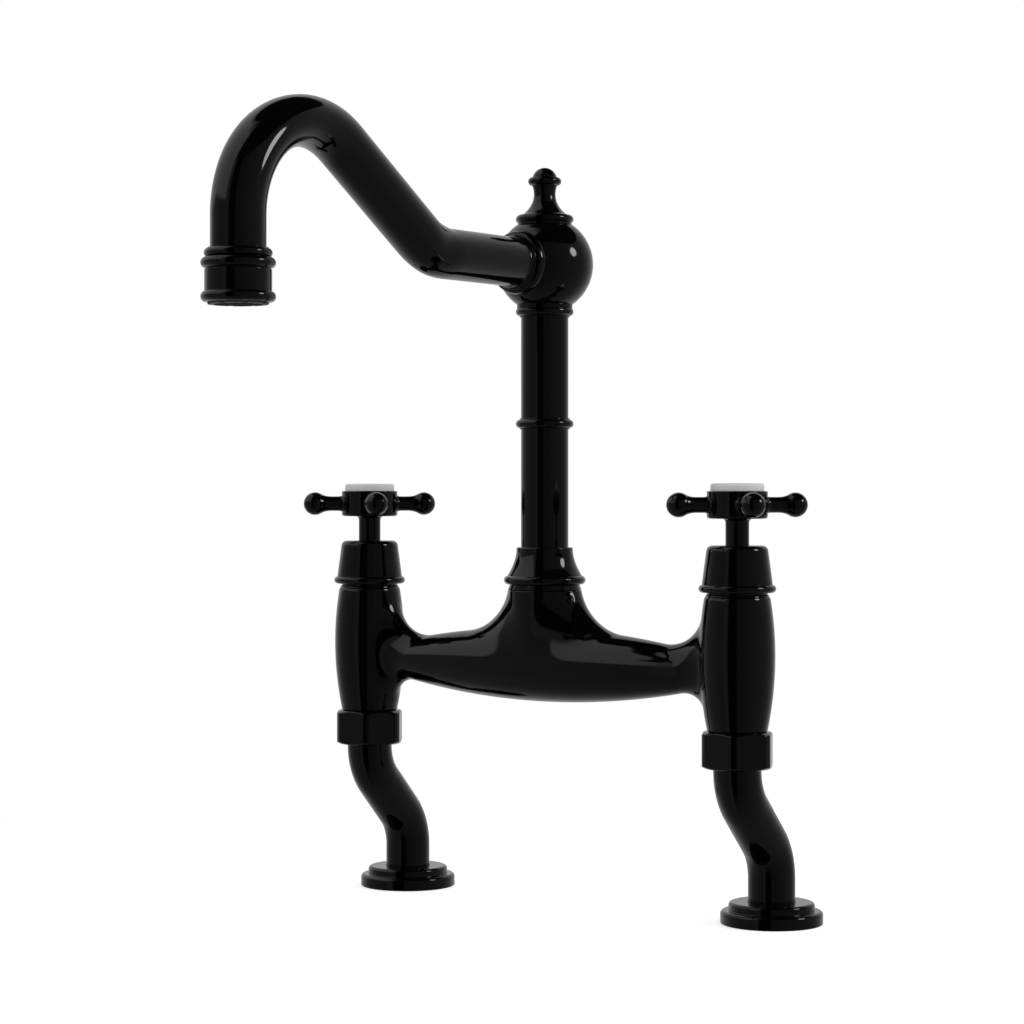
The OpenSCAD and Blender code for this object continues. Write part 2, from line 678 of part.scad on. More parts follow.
// Swivel: collar, bearing ring, retaining ring and O-rings
module spout_collar() color("#161616") at_post() {
    flare_z = barrel_top_z + 6.2;
    top_z = barrel_top_z + collar_h;
    flare_h = top_z - 0.8 - flare_z;
    difference() {
        union() {
            turned(concat([[0, barrel_top_z], [boss_r, barrel_top_z]],
                [[boss_r, barrel_top_z + 4.4], [collar_base_r, flare_z]],
                [for (i = [1:8]) let (f = i / 8)
                    [collar_top_r + (collar_base_r - collar_top_r) * pow(1 - f, 1.7), flare_z + flare_h * f]],
                [[collar_top_r - 0.5, top_z], [0, top_z]]));
            bead(collar_bead_r, bead_t, barrel_top_z + 4.4);
            hole(swivel_recess_r - slip_fit, circlip_z + circlip_h + face_gap, barrel_top_z);
        }
        hole(post_r + running_fit, ring_seat_z, top_z + overcut);
    }
}

module bearing_ring() color("#e9e6df") at_post()
    pipe(swivel_recess_r - slip_fit, post_r + running_fit, ring_seat_z, ring_seat_z + bearing_ring_h);

module retaining_ring() color("#b9b9b9") at_post() difference() {
    pipe(swivel_recess_r - 4 * running_fit, circlip_groove_r + slip_fit, circlip_z, circlip_z + circlip_h);
    translate([0, -1.5, circlip_z - overcut]) cube([swivel_recess_r + overcut, 3, circlip_h + 2 * overcut]);
}

module post_orings() color("#2b2b2b") at_post() for (z = post_oring_z) bead(post_r, post_oring_t, z);

// Post, its beads, the ball joint and the finial
module post_tube() color("#161616") at_post() difference() {
    pipe(post_r, post_bore_r, post_foot_z, ring_z + socket_depth);
    for (z = post_oring_z) pipe(post_r + overcut, post_groove_r, z - 0.95, z + 0.95);
    pipe(post_r + overcut, circlip_groove_r, circlip_z - 0.02, circlip_z + circlip_h + 0.02);
}

module post_band() color("#161616") at_post() difference() {
    union() {
        bead(bead_r, bead_t, band_z);
        hole(post_r + 0.6, band_z - bead_t - 0.6, band_z + bead_t + 0.6);
    }
    hole(post_r + slip_fit, band_z - 2 * bead_t, band_z + 2 * bead_t);
}

module post_top_ring() color("#161616") at_post() difference() {
    bead_z = ring_z - bead_t - 1.4;
    union() {
        bead(bead_r, bead_t, bead_z);
        hole(ball_flat_r, bead_z, ring_z);
        hole(post_r + 0.6, bead_z - bead_t - 0.6, bead_z);
    }
    hole(post_r + slip_fit, bead_z - 2 * bead_t, ring_z + overcut);
}

module ball_joint() color("#161616") at_post() translate([0, 0, ball_z]) {
    difference() {
        intersection() {
            sphere(ball_r);
            translate([-ball_r, -ball_front, -ball_flat])
                cube([2 * ball_r, ball_front + ball_r, 2 * ball_flat]);
        }
        hole(post_r + slip_fit, -ball_flat - overcut, socket_depth - ball_flat);
        hole(post_bore_r, -ball_flat, 0);
        sphere(post_bore_r);
        rotate([90, 0, 0]) {
            hole(post_bore_r, 0, ball_front);
            hole(spout_r + slip_fit, arm_start, ball_front + overcut);
        }
        hole(finial_stud_r + slip_fit, ball_flat - finial_stud_l - 0.5, ball_flat + overcut);
    }
}

module finial() color("#161616") at_post() {
    bead_z = finial_z + 2.6;
    dish_z = bead_z + 2.2;
    neck_z = finial_z + finial_h - 12.2;
    small_bead_z = finial_z + finial_h - 6.4;
    tip_z = finial_z + finial_h - finial_tip_r;
    dish_h = neck_z - dish_z;
    dish_r = bead_r - 3.2;
    turned(concat([[0, finial_z], [ball_flat_r, finial_z], [ball_flat_r, dish_z - 0.6], [dish_r, dish_z]],
        [for (i = [1:10]) let (f = i / 10)
            [finial_neck_r + (dish_r - finial_neck_r) * pow(1 - f, 2.2), dish_z + dish_h * f]],
        [[finial_neck_r + 0.3, small_bead_z - 2.6], [finial_bead_r - 1.6, small_bead_z - 1.4],
         [finial_bead_r - 1.8, small_bead_z + 1.4], [0, small_bead_z + 1.4]]));
    bead(bead_r, bead_t, bead_z);
    bead(finial_bead_r, 1.9, small_bead_z);
    translate([0, 0, tip_z]) sphere(finial_tip_r);
    hole(finial_stud_r, finial_z - finial_stud_l, finial_z);
}

// Swan-neck spout arm and the stepped collar at its root
spout_path = concat([[arm_start, 0, 0]],
    turn_left(arm_l, elbow_r, elbow_r, 0, rise_angle, 5),
    [for (p = turn_right(crook_y, crook_rise, crook_r, rise_angle, -90, 20))
        let (f = (p.z + 90) / (rise_angle + 90)) concat(p, crook_flattening * pow(sin(180 * f), 2))],
    [[spout_reach, tube_end_z - arm_axis_z, -90]]);

module spout_arm() color("#161616") at_post() translate([0, 0, arm_axis_z])
    swept_tube(spout_path, spout_r, spout_bore_r);

module arm_collar() color("#161616") at_post() translate([0, 0, arm_axis_z]) rotate([90, 0, 0]) {
    step_1 = ball_front + arm_collar_l;
    step_2 = step_1 + arm_collar_step_l;
    end = step_2 + arm_collar_step_l;
    lip_r = spout_r + 0.3;
    e = 0.8;
    difference() {
        turned(concat([[0, ball_front], [arm_collar_r, ball_front]],
            arc(arm_collar_r - e, step_1 - e, e, 0, 90, 4),
            [[arm_collar_step_r, step_1]], arc(arm_collar_step_r - e, step_2 - e, e, 0, 60, 3),
            [for (i = [1:5]) let (f = i / 5)
                [lip_r + (arm_collar_step_r - e - lip_r) * pow(1 - f, 2), step_2 + (end - step_2) * f]],
            [[0, end]]));
        hole(spout_r + slip_fit, 0, end + overcut);
    }
}

// Nozzle sleeve, aerator housing, screen and washer
module at_outlet() translate([0, -leg_offset - spout_reach, 0]) children();

module nozzle_sleeve() color("#161616") at_outlet() {
    bead_z = housing_top_z + 2.6;
    small_bead_z = bead_z + 3.9;
    difference() {
        union() {
            hole(spout_r + 1.2, housing_top_z, housing_top_z + sleeve_h);
            bead(nozzle_bead_r, nozzle_bead_t, bead_z);
            hole(nozzle_bead_r - nozzle_bead_t, housing_top_z, bead_z + 2);
            bead(nozzle_small_bead_r, nozzle_small_bead_t, small_bead_z);
            hole(nozzle_thread_r, housing_top_z - nozzle_thread_l, housing_top_z);
        }
        hole(spout_bore_r, housing_top_z - nozzle_thread_l - overcut, tube_end_z + overcut);
        hole(spout_r + slip_fit, tube_end_z, housing_top_z + sleeve_h + overcut);
    }
}

module aerator_housing() color("#161616") at_outlet() difference() {
    union() {
        hole(aerator_r, outlet_z + nozzle_bead_t, housing_top_z);
        bead(nozzle_bead_r, nozzle_bead_t, outlet_z + nozzle_bead_t + 0.1);
        hole(nozzle_bead_r - nozzle_bead_t, outlet_z + 0.1, outlet_z + 2 * nozzle_bead_t);
    }
    hole(screen_rim_r + slip_fit, outlet_z - overcut, screen_seat_z);
    hole(screen_r + slip_fit, screen_seat_z - overcut, screen_top_z + overcut);
    hole(nozzle_thread_r + slip_fit, screen_top_z, housing_top_z + overcut);
}

module aerator_screen() color("#9a9a9a") at_outlet() difference() {
    union() {
        hole(screen_rim_r, outlet_z - screen_drop, screen_seat_z);
        hole(screen_r, screen_seat_z, screen_top_z);
    }
    hole(screen_r - 1, outlet_z - 2, outlet_z + 1);
    for (i = [0:7]) rotate([0, 0, 45 * i + 10])
        translate([screen_rim_r - 1.6, -1.1, outlet_z - 2]) cube([4, 2.2, 2.6]);
    for (ring = [0:aerator_rings], i = [0:max(6 * ring, 1) - 1]) rotate([0, 0, i * 360 / max(6 * ring, 1)])
        translate([ring * 2.7, 0, 0]) hole(0.8, outlet_z, screen_top_z + overcut);
}

module aerator_washer() color("#2b2b2b") at_outlet()
    pipe(nozzle_thread_r - slip_fit, spout_bore_r, screen_top_z, housing_top_z - nozzle_thread_l);

bridge_body();
leg(left);  // left_leg
leg(right);  // right_leg
union_nut(left, left_nut_turn);  // left_union_nut
union_nut(right, right_nut_turn);  // right_union_nut
union_washer(left);  // left_union_washer
union_washer(right);  // right_union_washer
flange(left);  // left_flange
flange(right);  // right_flange
flange_seal(left);  // left_flange_seal
flange_seal(right);  // right_flange_seal
bonnet(left);  // left_bonnet
bonnet(right);  // right_bonnet
cartridge(left);  // left_cartridge
cartridge(right);  // right_cartridge
seat_seal(left);  // left_seat_seal
seat_seal(right);  // right_seat_seal
fixed_disc(left);  // left_fixed_disc
fixed_disc(right);  // right_fixed_disc
moving_disc(left);  // left_moving_disc
moving_disc(right);  // right_moving_disc
spindle(left);  // left_spindle
spindle(right);  // right_spindle
spindle_oring(left);  // left_spindle_oring
spindle_oring(right);  // right_spindle_oring
handle(left);  // left_handle
handle(right);  // right_handle
handle_screw(left);  // left_handle_screw
handle_screw(right);  // right_handle_screw
index(left);  // left_index
index(right);  // right_index
spout_collar();
bearing_ring();
retaining_ring();
post_orings();
post_tube();
post_band();
post_top_ring();
ball_joint();
finial();
spout_arm();
arm_collar();
nozzle_sleeve();
aerator_housing();
aerator_screen();
aerator_washer();
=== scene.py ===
"""Two-hole bridge kitchen tap in black lacquer, dressed for a plain white studio.

Sizes are in millimetres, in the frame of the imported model, and go into each mesh in metres. Each shape is
worked out as a grid of points: a profile turned about an axis, a ring carried along a path, or the skin of a
smooth field.
"""
from __future__ import annotations

import json
import logging
import math
from collections.abc import Sequence
from dataclasses import dataclass
from enum import Enum

import bmesh
import bpy
import numpy as np
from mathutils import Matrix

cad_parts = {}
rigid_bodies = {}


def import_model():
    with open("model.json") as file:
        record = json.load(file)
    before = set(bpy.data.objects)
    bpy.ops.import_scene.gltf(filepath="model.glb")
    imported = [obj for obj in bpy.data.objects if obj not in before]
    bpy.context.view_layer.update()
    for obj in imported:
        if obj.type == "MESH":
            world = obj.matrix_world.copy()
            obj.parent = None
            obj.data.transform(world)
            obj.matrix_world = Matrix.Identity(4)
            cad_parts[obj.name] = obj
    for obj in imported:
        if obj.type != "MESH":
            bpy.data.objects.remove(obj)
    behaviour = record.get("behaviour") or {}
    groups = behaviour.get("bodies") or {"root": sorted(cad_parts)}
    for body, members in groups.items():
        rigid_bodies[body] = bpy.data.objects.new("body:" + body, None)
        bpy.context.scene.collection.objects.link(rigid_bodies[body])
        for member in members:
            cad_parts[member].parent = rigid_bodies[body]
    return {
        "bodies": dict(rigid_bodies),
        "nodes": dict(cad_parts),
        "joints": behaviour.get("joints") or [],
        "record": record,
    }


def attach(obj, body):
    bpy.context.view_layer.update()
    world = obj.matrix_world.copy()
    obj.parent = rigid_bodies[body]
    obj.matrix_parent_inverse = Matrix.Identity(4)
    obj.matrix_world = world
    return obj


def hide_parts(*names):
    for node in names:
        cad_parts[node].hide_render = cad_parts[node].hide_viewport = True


Pair = tuple[float, float]
Spot = tuple[float, float, float]
Tree = bpy.types.NodeTree
Socket = bpy.types.NodeSocket

log = logging.getLogger("tap")
MM = 0.001
# Points round a turned piece, round a tube, along a rounded corner, a bead's edge and a straight
TURN_STEPS = 144
TUBE_STEPS = 112
ARC_STEPS = 8
BEAD_STEPS = 28
STRAIGHT_STEPS = 6
# Points closer than this, in metres, are one point
MERGE_GAP = 2e-6
# Edges that turn by more than this stay sharp
SHARP_ANGLE = math.radians(46)
# Gap between a bore and the piece that sits in it
FIT = 0.03
# Gap between two runs of a profile, so that their ends aren't one point
RUN_GAP = 0.02
# The four corners round a grid's cell, in order
CORNERS = ((0, 0), (1, 0), (1, 1), (0, 1))


class Side(Enum):
    """The two halves of the tap, by the sign of X."""

    LEFT = -1
    RIGHT = 1

    @property
    def label(self) -> str:
        """The side's name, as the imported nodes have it."""
        return self.name.lower()


class Body(Enum):
    """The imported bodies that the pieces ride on."""

    BRIDGE = "bridge"
    SPOUT = "spout"
    LEFT_HANDLE = "left_handle"
    RIGHT_HANDLE = "right_handle"


@dataclass(frozen=True)
class Layout:
    """Places that several sub-assemblies share."""

    valve_spacing: float = 206.0
    leg_offset: float = 30.7
    bridge_axis_z: float = 114.5
    barrel_bottom_z: float = 88.8
    barrel_top_z: float = 149.4
    bonnet_top_z: float = 171.0
    arm_axis_z: float = 300.0
    tube_end_z: float = 285.0
    spout_reach: float = 216.2
    outlet_z: float = 270.0
    housing_top_z: float = 283.3

    def valve(self, side: Side) -> Spot:
        """The foot of a valve's axis."""
        return (side.value * self.valve_spacing / 2, -self.leg_offset, 0.0)

    def deck_hole(self, side: Side) -> Spot:
        """The middle of a deck hole."""
        return (side.value * self.valve_spacing / 2, 0.0, 0.0)

    @property
    def post(self) -> Spot:
        """The foot of the post's axis."""
        return (0.0, -self.leg_offset, 0.0)

    @property
    def outlet(self) -> Spot:
        """The foot of the outlet's axis."""
        return (0.0, -self.leg_offset - self.spout_reach, 0.0)


LAYOUT = Layout()


@dataclass(frozen=True)
class Patch:
    """A surface: points in millimetres, and faces as rows of four point numbers."""

    points: np.ndarray
    faces: np.ndarray


def grid_patch(points: np.ndarray, wrap_rows: bool = False) -> Patch:
    """Joins a grid of points with quads, and its last column with its first.

    Args:
        points: Rows by columns by three coordinates.
        wrap_rows: Whether the last row joins the first.

    Returns:
        The patch.
    """
    rows, columns = points.shape[:2]
    numbers = np.arange(rows * columns).reshape(rows, columns)
    if wrap_rows:
        numbers = np.vstack([numbers, numbers[:1]])
    numbers = np.hstack([numbers, numbers[:, :1]])
    quads = np.stack([numbers[:-1, :-1], numbers[:-1, 1:], numbers[1:, 1:], numbers[1:, :-1]], axis=-1)
    return Patch(points.reshape(-1, 3), quads.reshape(-1, 4))


def rounded(corners: Sequence[Spot], closed: bool = True) -> np.ndarray:
    """Draws a profile through corners, each rounded by its own radius.

    A corner's arc touches both sides at radius / tan(half the angle between them). A straight part has points
    bunched at its ends by a cosine, so that its shading stays flat up to the arc.

    Args:
        corners: Distance from the axis, height and rounding radius of each corner.
        closed: Whether the last corner joins the first.

    Returns:
        Rows of distance from the axis and height.
    """
    spots = np.array([corner[:2] for corner in corners], float)
    count = len(spots)
    runs = []
    for i, (_, _, radius) in enumerate(corners):
        at_end = not closed and i in (0, count - 1)
        if radius <= 0 or at_end:
            runs.append(spots[i : i + 1])
            continue
        back = spots[i - 1] - spots[i]
        ahead = spots[(i + 1) % count] - spots[i]
        back = back / np.linalg.norm(back)
        ahead = ahead / np.linalg.norm(ahead)
        half = math.acos(float(np.clip(back @ ahead, -1, 1))) / 2
        middle = spots[i] + (back + ahead) / np.linalg.norm(back + ahead) * radius / math.sin(half)
        first = spots[i] + back * radius / math.tan(half) - middle
        last = spots[i] + ahead * radius / math.tan(half) - middle
        start = math.atan2(first[1], first[0])
        sweep = (math.atan2(last[1], last[0]) - start + math.pi) % (2 * math.pi) - math.pi
        angles = start + sweep * np.linspace(0, 1, ARC_STEPS + 1)
        runs.append(middle + radius * np.stack([np.cos(angles), np.sin(angles)], axis=1))
    share = (1 - np.cos(np.linspace(0, math.pi, STRAIGHT_STEPS + 1)))[1:-1, None] / 2
    joined = []
    for i, run in enumerate(runs):
        joined.append(run)
        if closed or i < count - 1:
            start_point, end_point = run[-1], runs[(i + 1) % count][0]
            joined.append(start_point + (end_point - start_point) * share)
    return np.vstack(joined)


def arc_run(r: float, z: float, radius: float, start: float, end: float, steps: int = 24) -> np.ndarray:
    """Points of an arc about (r, z), from one angle to another in degrees."""
    angles = np.radians(np.linspace(start, end, steps + 1))
    return np.stack([r + radius * np.cos(angles), z + radius * np.sin(angles)], axis=1)


def bead_run(outer: float, half: float, z: float, below: float, above: float) -> np.ndarray:
    """Points of a bead's round edge, from where it leaves one wall to where it meets the next.

    Args:
        outer: Radius of the bead at its widest.
        half: Half the bead's thickness.
        z: Height of its middle.
        below: Radius of the wall under it.
        above: Radius of the wall over it.

    Returns:
        Rows of distance from the axis and height, going up.
    """
    centre = outer - half
    start = -math.degrees(math.acos(np.clip((below - centre) / half, -1, 1)))
    end = math.degrees(math.acos(np.clip((above - centre) / half, -1, 1)))
    return arc_run(centre, z, half, start, end, BEAD_STEPS)


def curve_run(start: Pair, end: Pair, power: float, steps: int = 20) -> np.ndarray:
    """Points of a flare: the radius nears its end value as (1 - share of the height) to a power."""
    share = np.linspace(0, 1, steps + 1)
    radius = end[0] + (start[0] - end[0]) * (1 - share) ** power
    return np.stack([radius, start[1] + (end[1] - start[1]) * share], axis=1)


class Axis(Enum):
    """Directions that a turned piece's axis can have, as columns for across, across and along."""

    UP = ((1, 0, 0), (0, 1, 0), (0, 0, 1))
    FORWARD = ((1, 0, 0), (0, 0, 1), (0, -1, 0))


def turned(
    profile: np.ndarray,
    foot: Spot,
    axis: Axis = Axis.UP,
    closed: bool = True,
    heading: float | None = None,
) -> Patch:
    """Turns a profile about an axis.

    A point is foot + r cos(a) across + r sin(a) across the other way + z along.

    Args:
        profile: Rows of distance from the axis and distance along it.
        foot: A point on the axis, from which the distance along it is taken.
        axis: The axis's direction.
        closed: Whether the profile's last point joins its first.
        heading: For an axis that lies level, its angle from +X in degrees, in place of axis.

    Returns:
        The patch.
    """
    frame = np.array(axis.value, float)
    if heading is not None:
        c, s = math.cos(math.radians(heading)), math.sin(math.radians(heading))
        frame = np.array([[-s, c, 0], [0, 0, 1], [c, s, 0]])
    angles = np.linspace(0, 2 * math.pi, TURN_STEPS, endpoint=False)
    r, z = profile[:, :1], profile[:, 1:]
    along = np.broadcast_to(z, (len(profile), TURN_STEPS))
    local = np.stack([r * np.cos(angles), r * np.sin(angles), along], axis=-1)
    return grid_patch(local @ frame + np.array(foot), wrap_rows=closed)


def turn_path(middle: Pair, radius: float, headings: Pair, steps: int, flattening: float = 0.0) -> np.ndarray:
    """Stations of a bend, which turns left where its heading grows and right where it falls.

    The tube is thinner across the bend by the flattening times the square of a half sine.

    Args:
        middle: Distance along and height of the bend's middle.
        radius: The bend's radius.
        headings: Its first and last heading in degrees.
        steps: How many steps it has.
        flattening: How much thinner the tube is halfway, or thicker where this is below zero.

    Returns:
        Rows of distance along, height, heading in degrees and flattening.
    """
    heading = np.linspace(*headings, steps + 1)
    hand = radius if headings[1] > headings[0] else -radius
    angle = np.radians(heading)
    along, up = middle[0] + hand * np.sin(angle), middle[1] - hand * np.cos(angle)
    flat = flattening * np.sin(np.linspace(0, math.pi, steps + 1)) ** 2
    return np.stack([along, up, heading, flat], axis=1)


def joined_path(
    start: Sequence[float], bends: Sequence[np.ndarray], end: Sequence[float], steps: Sequence[int]
) -> np.ndarray:
    """Joins a start, bends and an end with straight runs.

    Args:
        start: The first station.
        bends: The stations of each bend.
        end: The last station.
        steps: How many steps each straight run has.

    Returns:
        Rows of distance along, height, heading in degrees and flattening.
    """
    runs = [np.array([start])]
    for target, count in zip((*bends, np.array([end])), steps):
        share = np.linspace(0, 1, count + 1)[1:-1, None]
        runs += [runs[-1][-1] + (target[0] - runs[-1][-1]) * share, target]
    return np.vstack(runs)


def tube(path: np.ndarray, foot: Spot, outer: float, inner: float) -> Patch:
    """Carries a ring along a path in the plane of Y and Z, out along its outside and back along its bore.

    A ring's point is the station + (r - flat / 2) cos(a) across the path + (r + flat / 2) sin(a) sideways.

    Args:
        path: Rows of distance towards -Y, height, heading in degrees and flattening.
        foot: The point from which the path is taken.
        outer: Outer radius.
        inner: Inner radius.

    Returns:
        The patch.
    """
    angles = np.linspace(0, 2 * math.pi, TUBE_STEPS, endpoint=False)
    along, up, heading, flat = (path[:, i : i + 1] for i in range(4))
    heading = np.radians(heading)
    rings = []
    for radius, order in ((outer, slice(None)), (inner, slice(None, None, -1))):
        across = (radius - flat / 2) * np.cos(angles)
        side = (radius + flat / 2) * np.sin(angles)
        ring = np.stack([side, -(along - across * np.sin(heading)), up + across * np.cos(heading)], axis=-1)
        rings.append(ring[order])
    return grid_patch(np.concatenate(rings) + np.array(foot), wrap_rows=True)


def to_linear(colour: str) -> tuple[float, float, float, float]:
    """Turns an sRGB hex colour into linear red, green, blue and alpha, by the usual two-part curve."""
    parts = np.array([int(colour[i : i + 2], 16) for i in (1, 3, 5)]) / 255
    linear = np.where(parts <= 0.04045, parts / 12.92, ((parts + 0.055) / 1.055) ** 2.4)
    return (*(float(v) for v in linear), 1.0)


def add_node(
    tree: Tree, kind: str, settings: dict[str, object] | None = None, inputs: dict | Sequence = ()
) -> bpy.types.Node:
    """Adds a node with its settings and links.

    Args:
        tree: The tree that gets the node.
        kind: The node's type.
        settings: Its properties.
        inputs: Its inputs, in order, or by name or number: a value, or the output that one is linked from.

    Returns:
        The node.
    """
    node = tree.nodes.new(kind)
    for name, value in (settings or {}).items():
        setattr(node, name, value)
    for name, value in inputs.items() if isinstance(inputs, dict) else enumerate(inputs):
        if isinstance(value, Socket):
            tree.links.new(value, node.inputs[name])
        else:
            node.inputs[name].default_value = value
    return node


def cleared_tree(owner: bpy.types.Material | bpy.types.World) -> Tree:
    """Turns on the nodes of a material or a world, and takes out those that it starts with."""
    owner.use_nodes = True
    owner.node_tree.nodes.clear()
    return owner.node_tree


class Texture(Enum):
    """How a surface was made, which sets the pattern of its relief."""

    SPRAYED = "sprayed"
    GLAZED = "glazed"
    TURNED = "turned"
    MOULDED = "moulded"
    LAPPED = "lapped"
    PRESSED_FIBRE = "pressed fibre"


@dataclass(frozen=True)
class Finish:
    """A material, from what the real one is.

    relief_mm is the spacing of the surface's own pattern, and relief_height_mm its height. colour_2 is what
    the colour drifts to in patches of patch_mm, where the roughness drifts from roughness to roughness_2.
    """

    name: str
    slot: str
    texture: Texture
    colour: str
    colour_2: str
    roughness: float
    roughness_2: float
    relief_mm: float
    relief_height_mm: float
    patch_mm: float = 18.0
    metallic: float = 0.0
    ior: float = 1.5

    def material(self) -> bpy.types.Material:
        """Builds the material's nodes, or finds it if it is there already.

        The patches' noise lies mostly between 0.3 and 0.7, which is stretched over the two roughnesses.

        Returns:
            The material.
        """
        found = bpy.data.materials.get(self.name)
        if found:
            return found
        made = bpy.data.materials.new(self.name)
        tree = cleared_tree(made)
        place = add_node(tree, "ShaderNodeTexCoord").outputs["Object"]
        inputs = {"Vector": place, "Scale": 1 / (self.patch_mm * MM), "Detail": 3.0}
        patches = add_node(tree, "ShaderNodeTexNoise", inputs=inputs).outputs["Fac"]
        inputs = (patches, 0.3, 0.7, self.roughness, self.roughness_2)
        roughness = add_node(tree, "ShaderNodeMapRange", inputs=inputs).outputs["Result"]
        drift = self.colour_drift(tree, place, patches)
        inputs = {"Factor": drift, 6: to_linear(self.colour), 7: to_linear(self.colour_2)}
        colour = add_node(tree, "ShaderNodeMix", {"data_type": "RGBA"}, inputs).outputs[2]
        inputs = {"Height": self.relief(tree, place), "Distance": self.relief_height_mm * MM, "Strength": 1.0}
        bump = add_node(tree, "ShaderNodeBump", inputs=inputs).outputs["Normal"]
        inputs = {"Base Color": colour, "Roughness": roughness, "Normal": bump}
        inputs |= {"Metallic": self.metallic, "IOR": self.ior}
        shader = add_node(tree, "ShaderNodeBsdfPrincipled", inputs=inputs)
        add_node(tree, "ShaderNodeOutputMaterial", inputs={"Surface": shader.outputs["BSDF"]})
        return made

    def colour_drift(self, tree: Tree, place: Socket, patches: Socket) -> Socket:
        """The share of the second colour: fibres where it is fibre, and soft patches elsewhere."""
        if self.texture is not Texture.PRESSED_FIBRE:
            return patches
        inputs = {"Vector": place, "Scale": (1.0, 5.0, 3.0)}
        strands = add_node(tree, "ShaderNodeMapping", inputs=inputs).outputs[0]
        inputs = {"Vector": strands, "Scale": 1 / (self.relief_mm * MM), "Detail": 4.0}
        return add_node(tree, "ShaderNodeTexNoise", inputs=inputs).outputs["Fac"]

    def relief(self, tree: Tree, place: Socket) -> Socket:
        """The height of the surface's own pattern, from 0 to 1.

        Turned metal has rings at steps of height, with a little drift. At a scale of one the wave turns
        through 20 radians in a unit, so the rings are drawn 2 pi times as far apart as the spacing, coarse
        enough to show. The rest have round noise, whose scale is one over the pattern's spacing.

        Args:
            tree: The tree that gets the nodes.
            place: The place on the piece.

        Returns:
            The height.
        """
        scale = 1 / (self.relief_mm * MM)
        if self.texture is Texture.TURNED:
            settings = {"wave_type": "BANDS", "bands_direction": "Z", "wave_profile": "SAW"}
            inputs = {"Vector": place, "Scale": scale / 20, "Distortion": 0.6, "Detail": 2.0}
            return add_node(tree, "ShaderNodeTexWave", settings, inputs).outputs["Fac"]
        detail = 1.0 if self.texture in (Texture.SPRAYED, Texture.GLAZED) else 5.0
        inputs = {"Vector": place, "Scale": scale, "Detail": detail, "Roughness": 0.5}
        return add_node(tree, "ShaderNodeTexNoise", inputs=inputs).outputs["Fac"]


# Stoved black lacquer sprayed on polished brass: a wet, near-black gloss with the faintest orange peel
LACQUER = Finish(
    "stoved_black_lacquer", "black_gloss", Texture.SPRAYED,
    "#030303", "#040405", 0.05, 0.085, 2.4, 0.0012, 26.0,
)
# Glazed porcelain: a cool white body under clear glaze, with slow ripples where the glaze ran
PORCELAIN = Finish(
    "glazed_porcelain", "porcelain", Texture.GLAZED, "#e7e7e5", "#efefec", 0.07, 0.12, 3.0, 0.004, 9.0
)
# Lapped alumina: a dense off-white ceramic, flat enough to seal against its twin
ALUMINA = Finish(
    "lapped_alumina", "ceramic", Texture.LAPPED, "#e6e2d8", "#ded9cd", 0.16, 0.24, 0.4, 0.001, 5.0
)
# Free-cutting brass as it left the lathe: fine rings and a warm, slightly dulled shine
BRASS = Finish("turned_brass", "brass", Texture.TURNED, "#d9b566", "#c79c4e", 0.2, 0.34, 0.5, 0.004, 7.0, 1.0)
# Stainless steel wire and bar, bright but for the tool's rings
STEEL = Finish(
    "bright_stainless_steel", "steel", Texture.TURNED, "#c9c9ca", "#b7b8ba", 0.22, 0.33, 0.35, 0.003, 5.0, 1.0
)
# Moulded nitrile rubber: dull black with the mould's fine grain
RUBBER = Finish(
    "moulded_nitrile_rubber", "rubber", Texture.MOULDED, "#1b1b1c", "#252525", 0.62, 0.78, 0.5, 0.01, 6.0
)
# Vulcanised fibre: brick-red sheet, with strands that show on its faces
FIBRE = Finish(
    "red_vulcanised_fibre", "fibre", Texture.PRESSED_FIBRE, "#7a2f22", "#93483a", 0.6, 0.75, 0.8, 0.02, 4.0
)
# Acetal: waxy ivory plastic that the post turns on
ACETAL = Finish(
    "moulded_acetal", "bearing_plastic", Texture.MOULDED, "#e4e1d8", "#dcd8cc", 0.34, 0.45, 0.7, 0.004, 8.0
)
# Grey acrylonitrile plastic of the aerator's insert, matt from its mould
INSERT_PLASTIC = Finish(
    "moulded_grey_plastic", "aerator_plastic", Texture.MOULDED,
    "#3a3a3b", "#444446", 0.42, 0.55, 0.6, 0.008, 5.0,
)
INNER_FINISHES = (ALUMINA, BRASS, STEEL, RUBBER, FIBRE, ACETAL, INSERT_PLASTIC)


def add_mesh(name: str, mesh_source: bmesh.types.BMesh) -> bpy.types.Object:
    """Merges doubles, turns faces outwards, shades smooth with sharp edges kept, and adds the object."""
    bmesh.ops.remove_doubles(mesh_source, verts=mesh_source.verts, dist=MERGE_GAP)
    bmesh.ops.recalc_face_normals(mesh_source, faces=mesh_source.faces)
    mesh = bpy.data.meshes.new(name)
    mesh_source.to_mesh(mesh)
    mesh_source.free()
    mesh.shade_smooth()
    mesh.set_sharp_from_angle(angle=SHARP_ANGLE)
    return add_linked(name, mesh)


def add_patches(mesh: bmesh.types.BMesh, patches: Sequence[Patch]) -> None:
    """Adds patches to an editable mesh, in metres."""
    starts = np.cumsum([0] + [len(patch.points) for patch in patches[:-1]])
    points = np.vstack([patch.points for patch in patches]) * MM
    faces = np.vstack([patch.faces + start for patch, start in zip(patches, starts)])
    source = bpy.data.meshes.new("patches")
    source.from_pydata(points.tolist(), [], faces.tolist())
    mesh.from_mesh(source)
    bpy.data.meshes.remove(source)


def patches_mesh(patches: Sequence[Patch]) -> bmesh.types.BMesh:
    """Joins patches into one editable mesh, in metres."""
    made = bmesh.new()
    add_patches(made, patches)
    return made


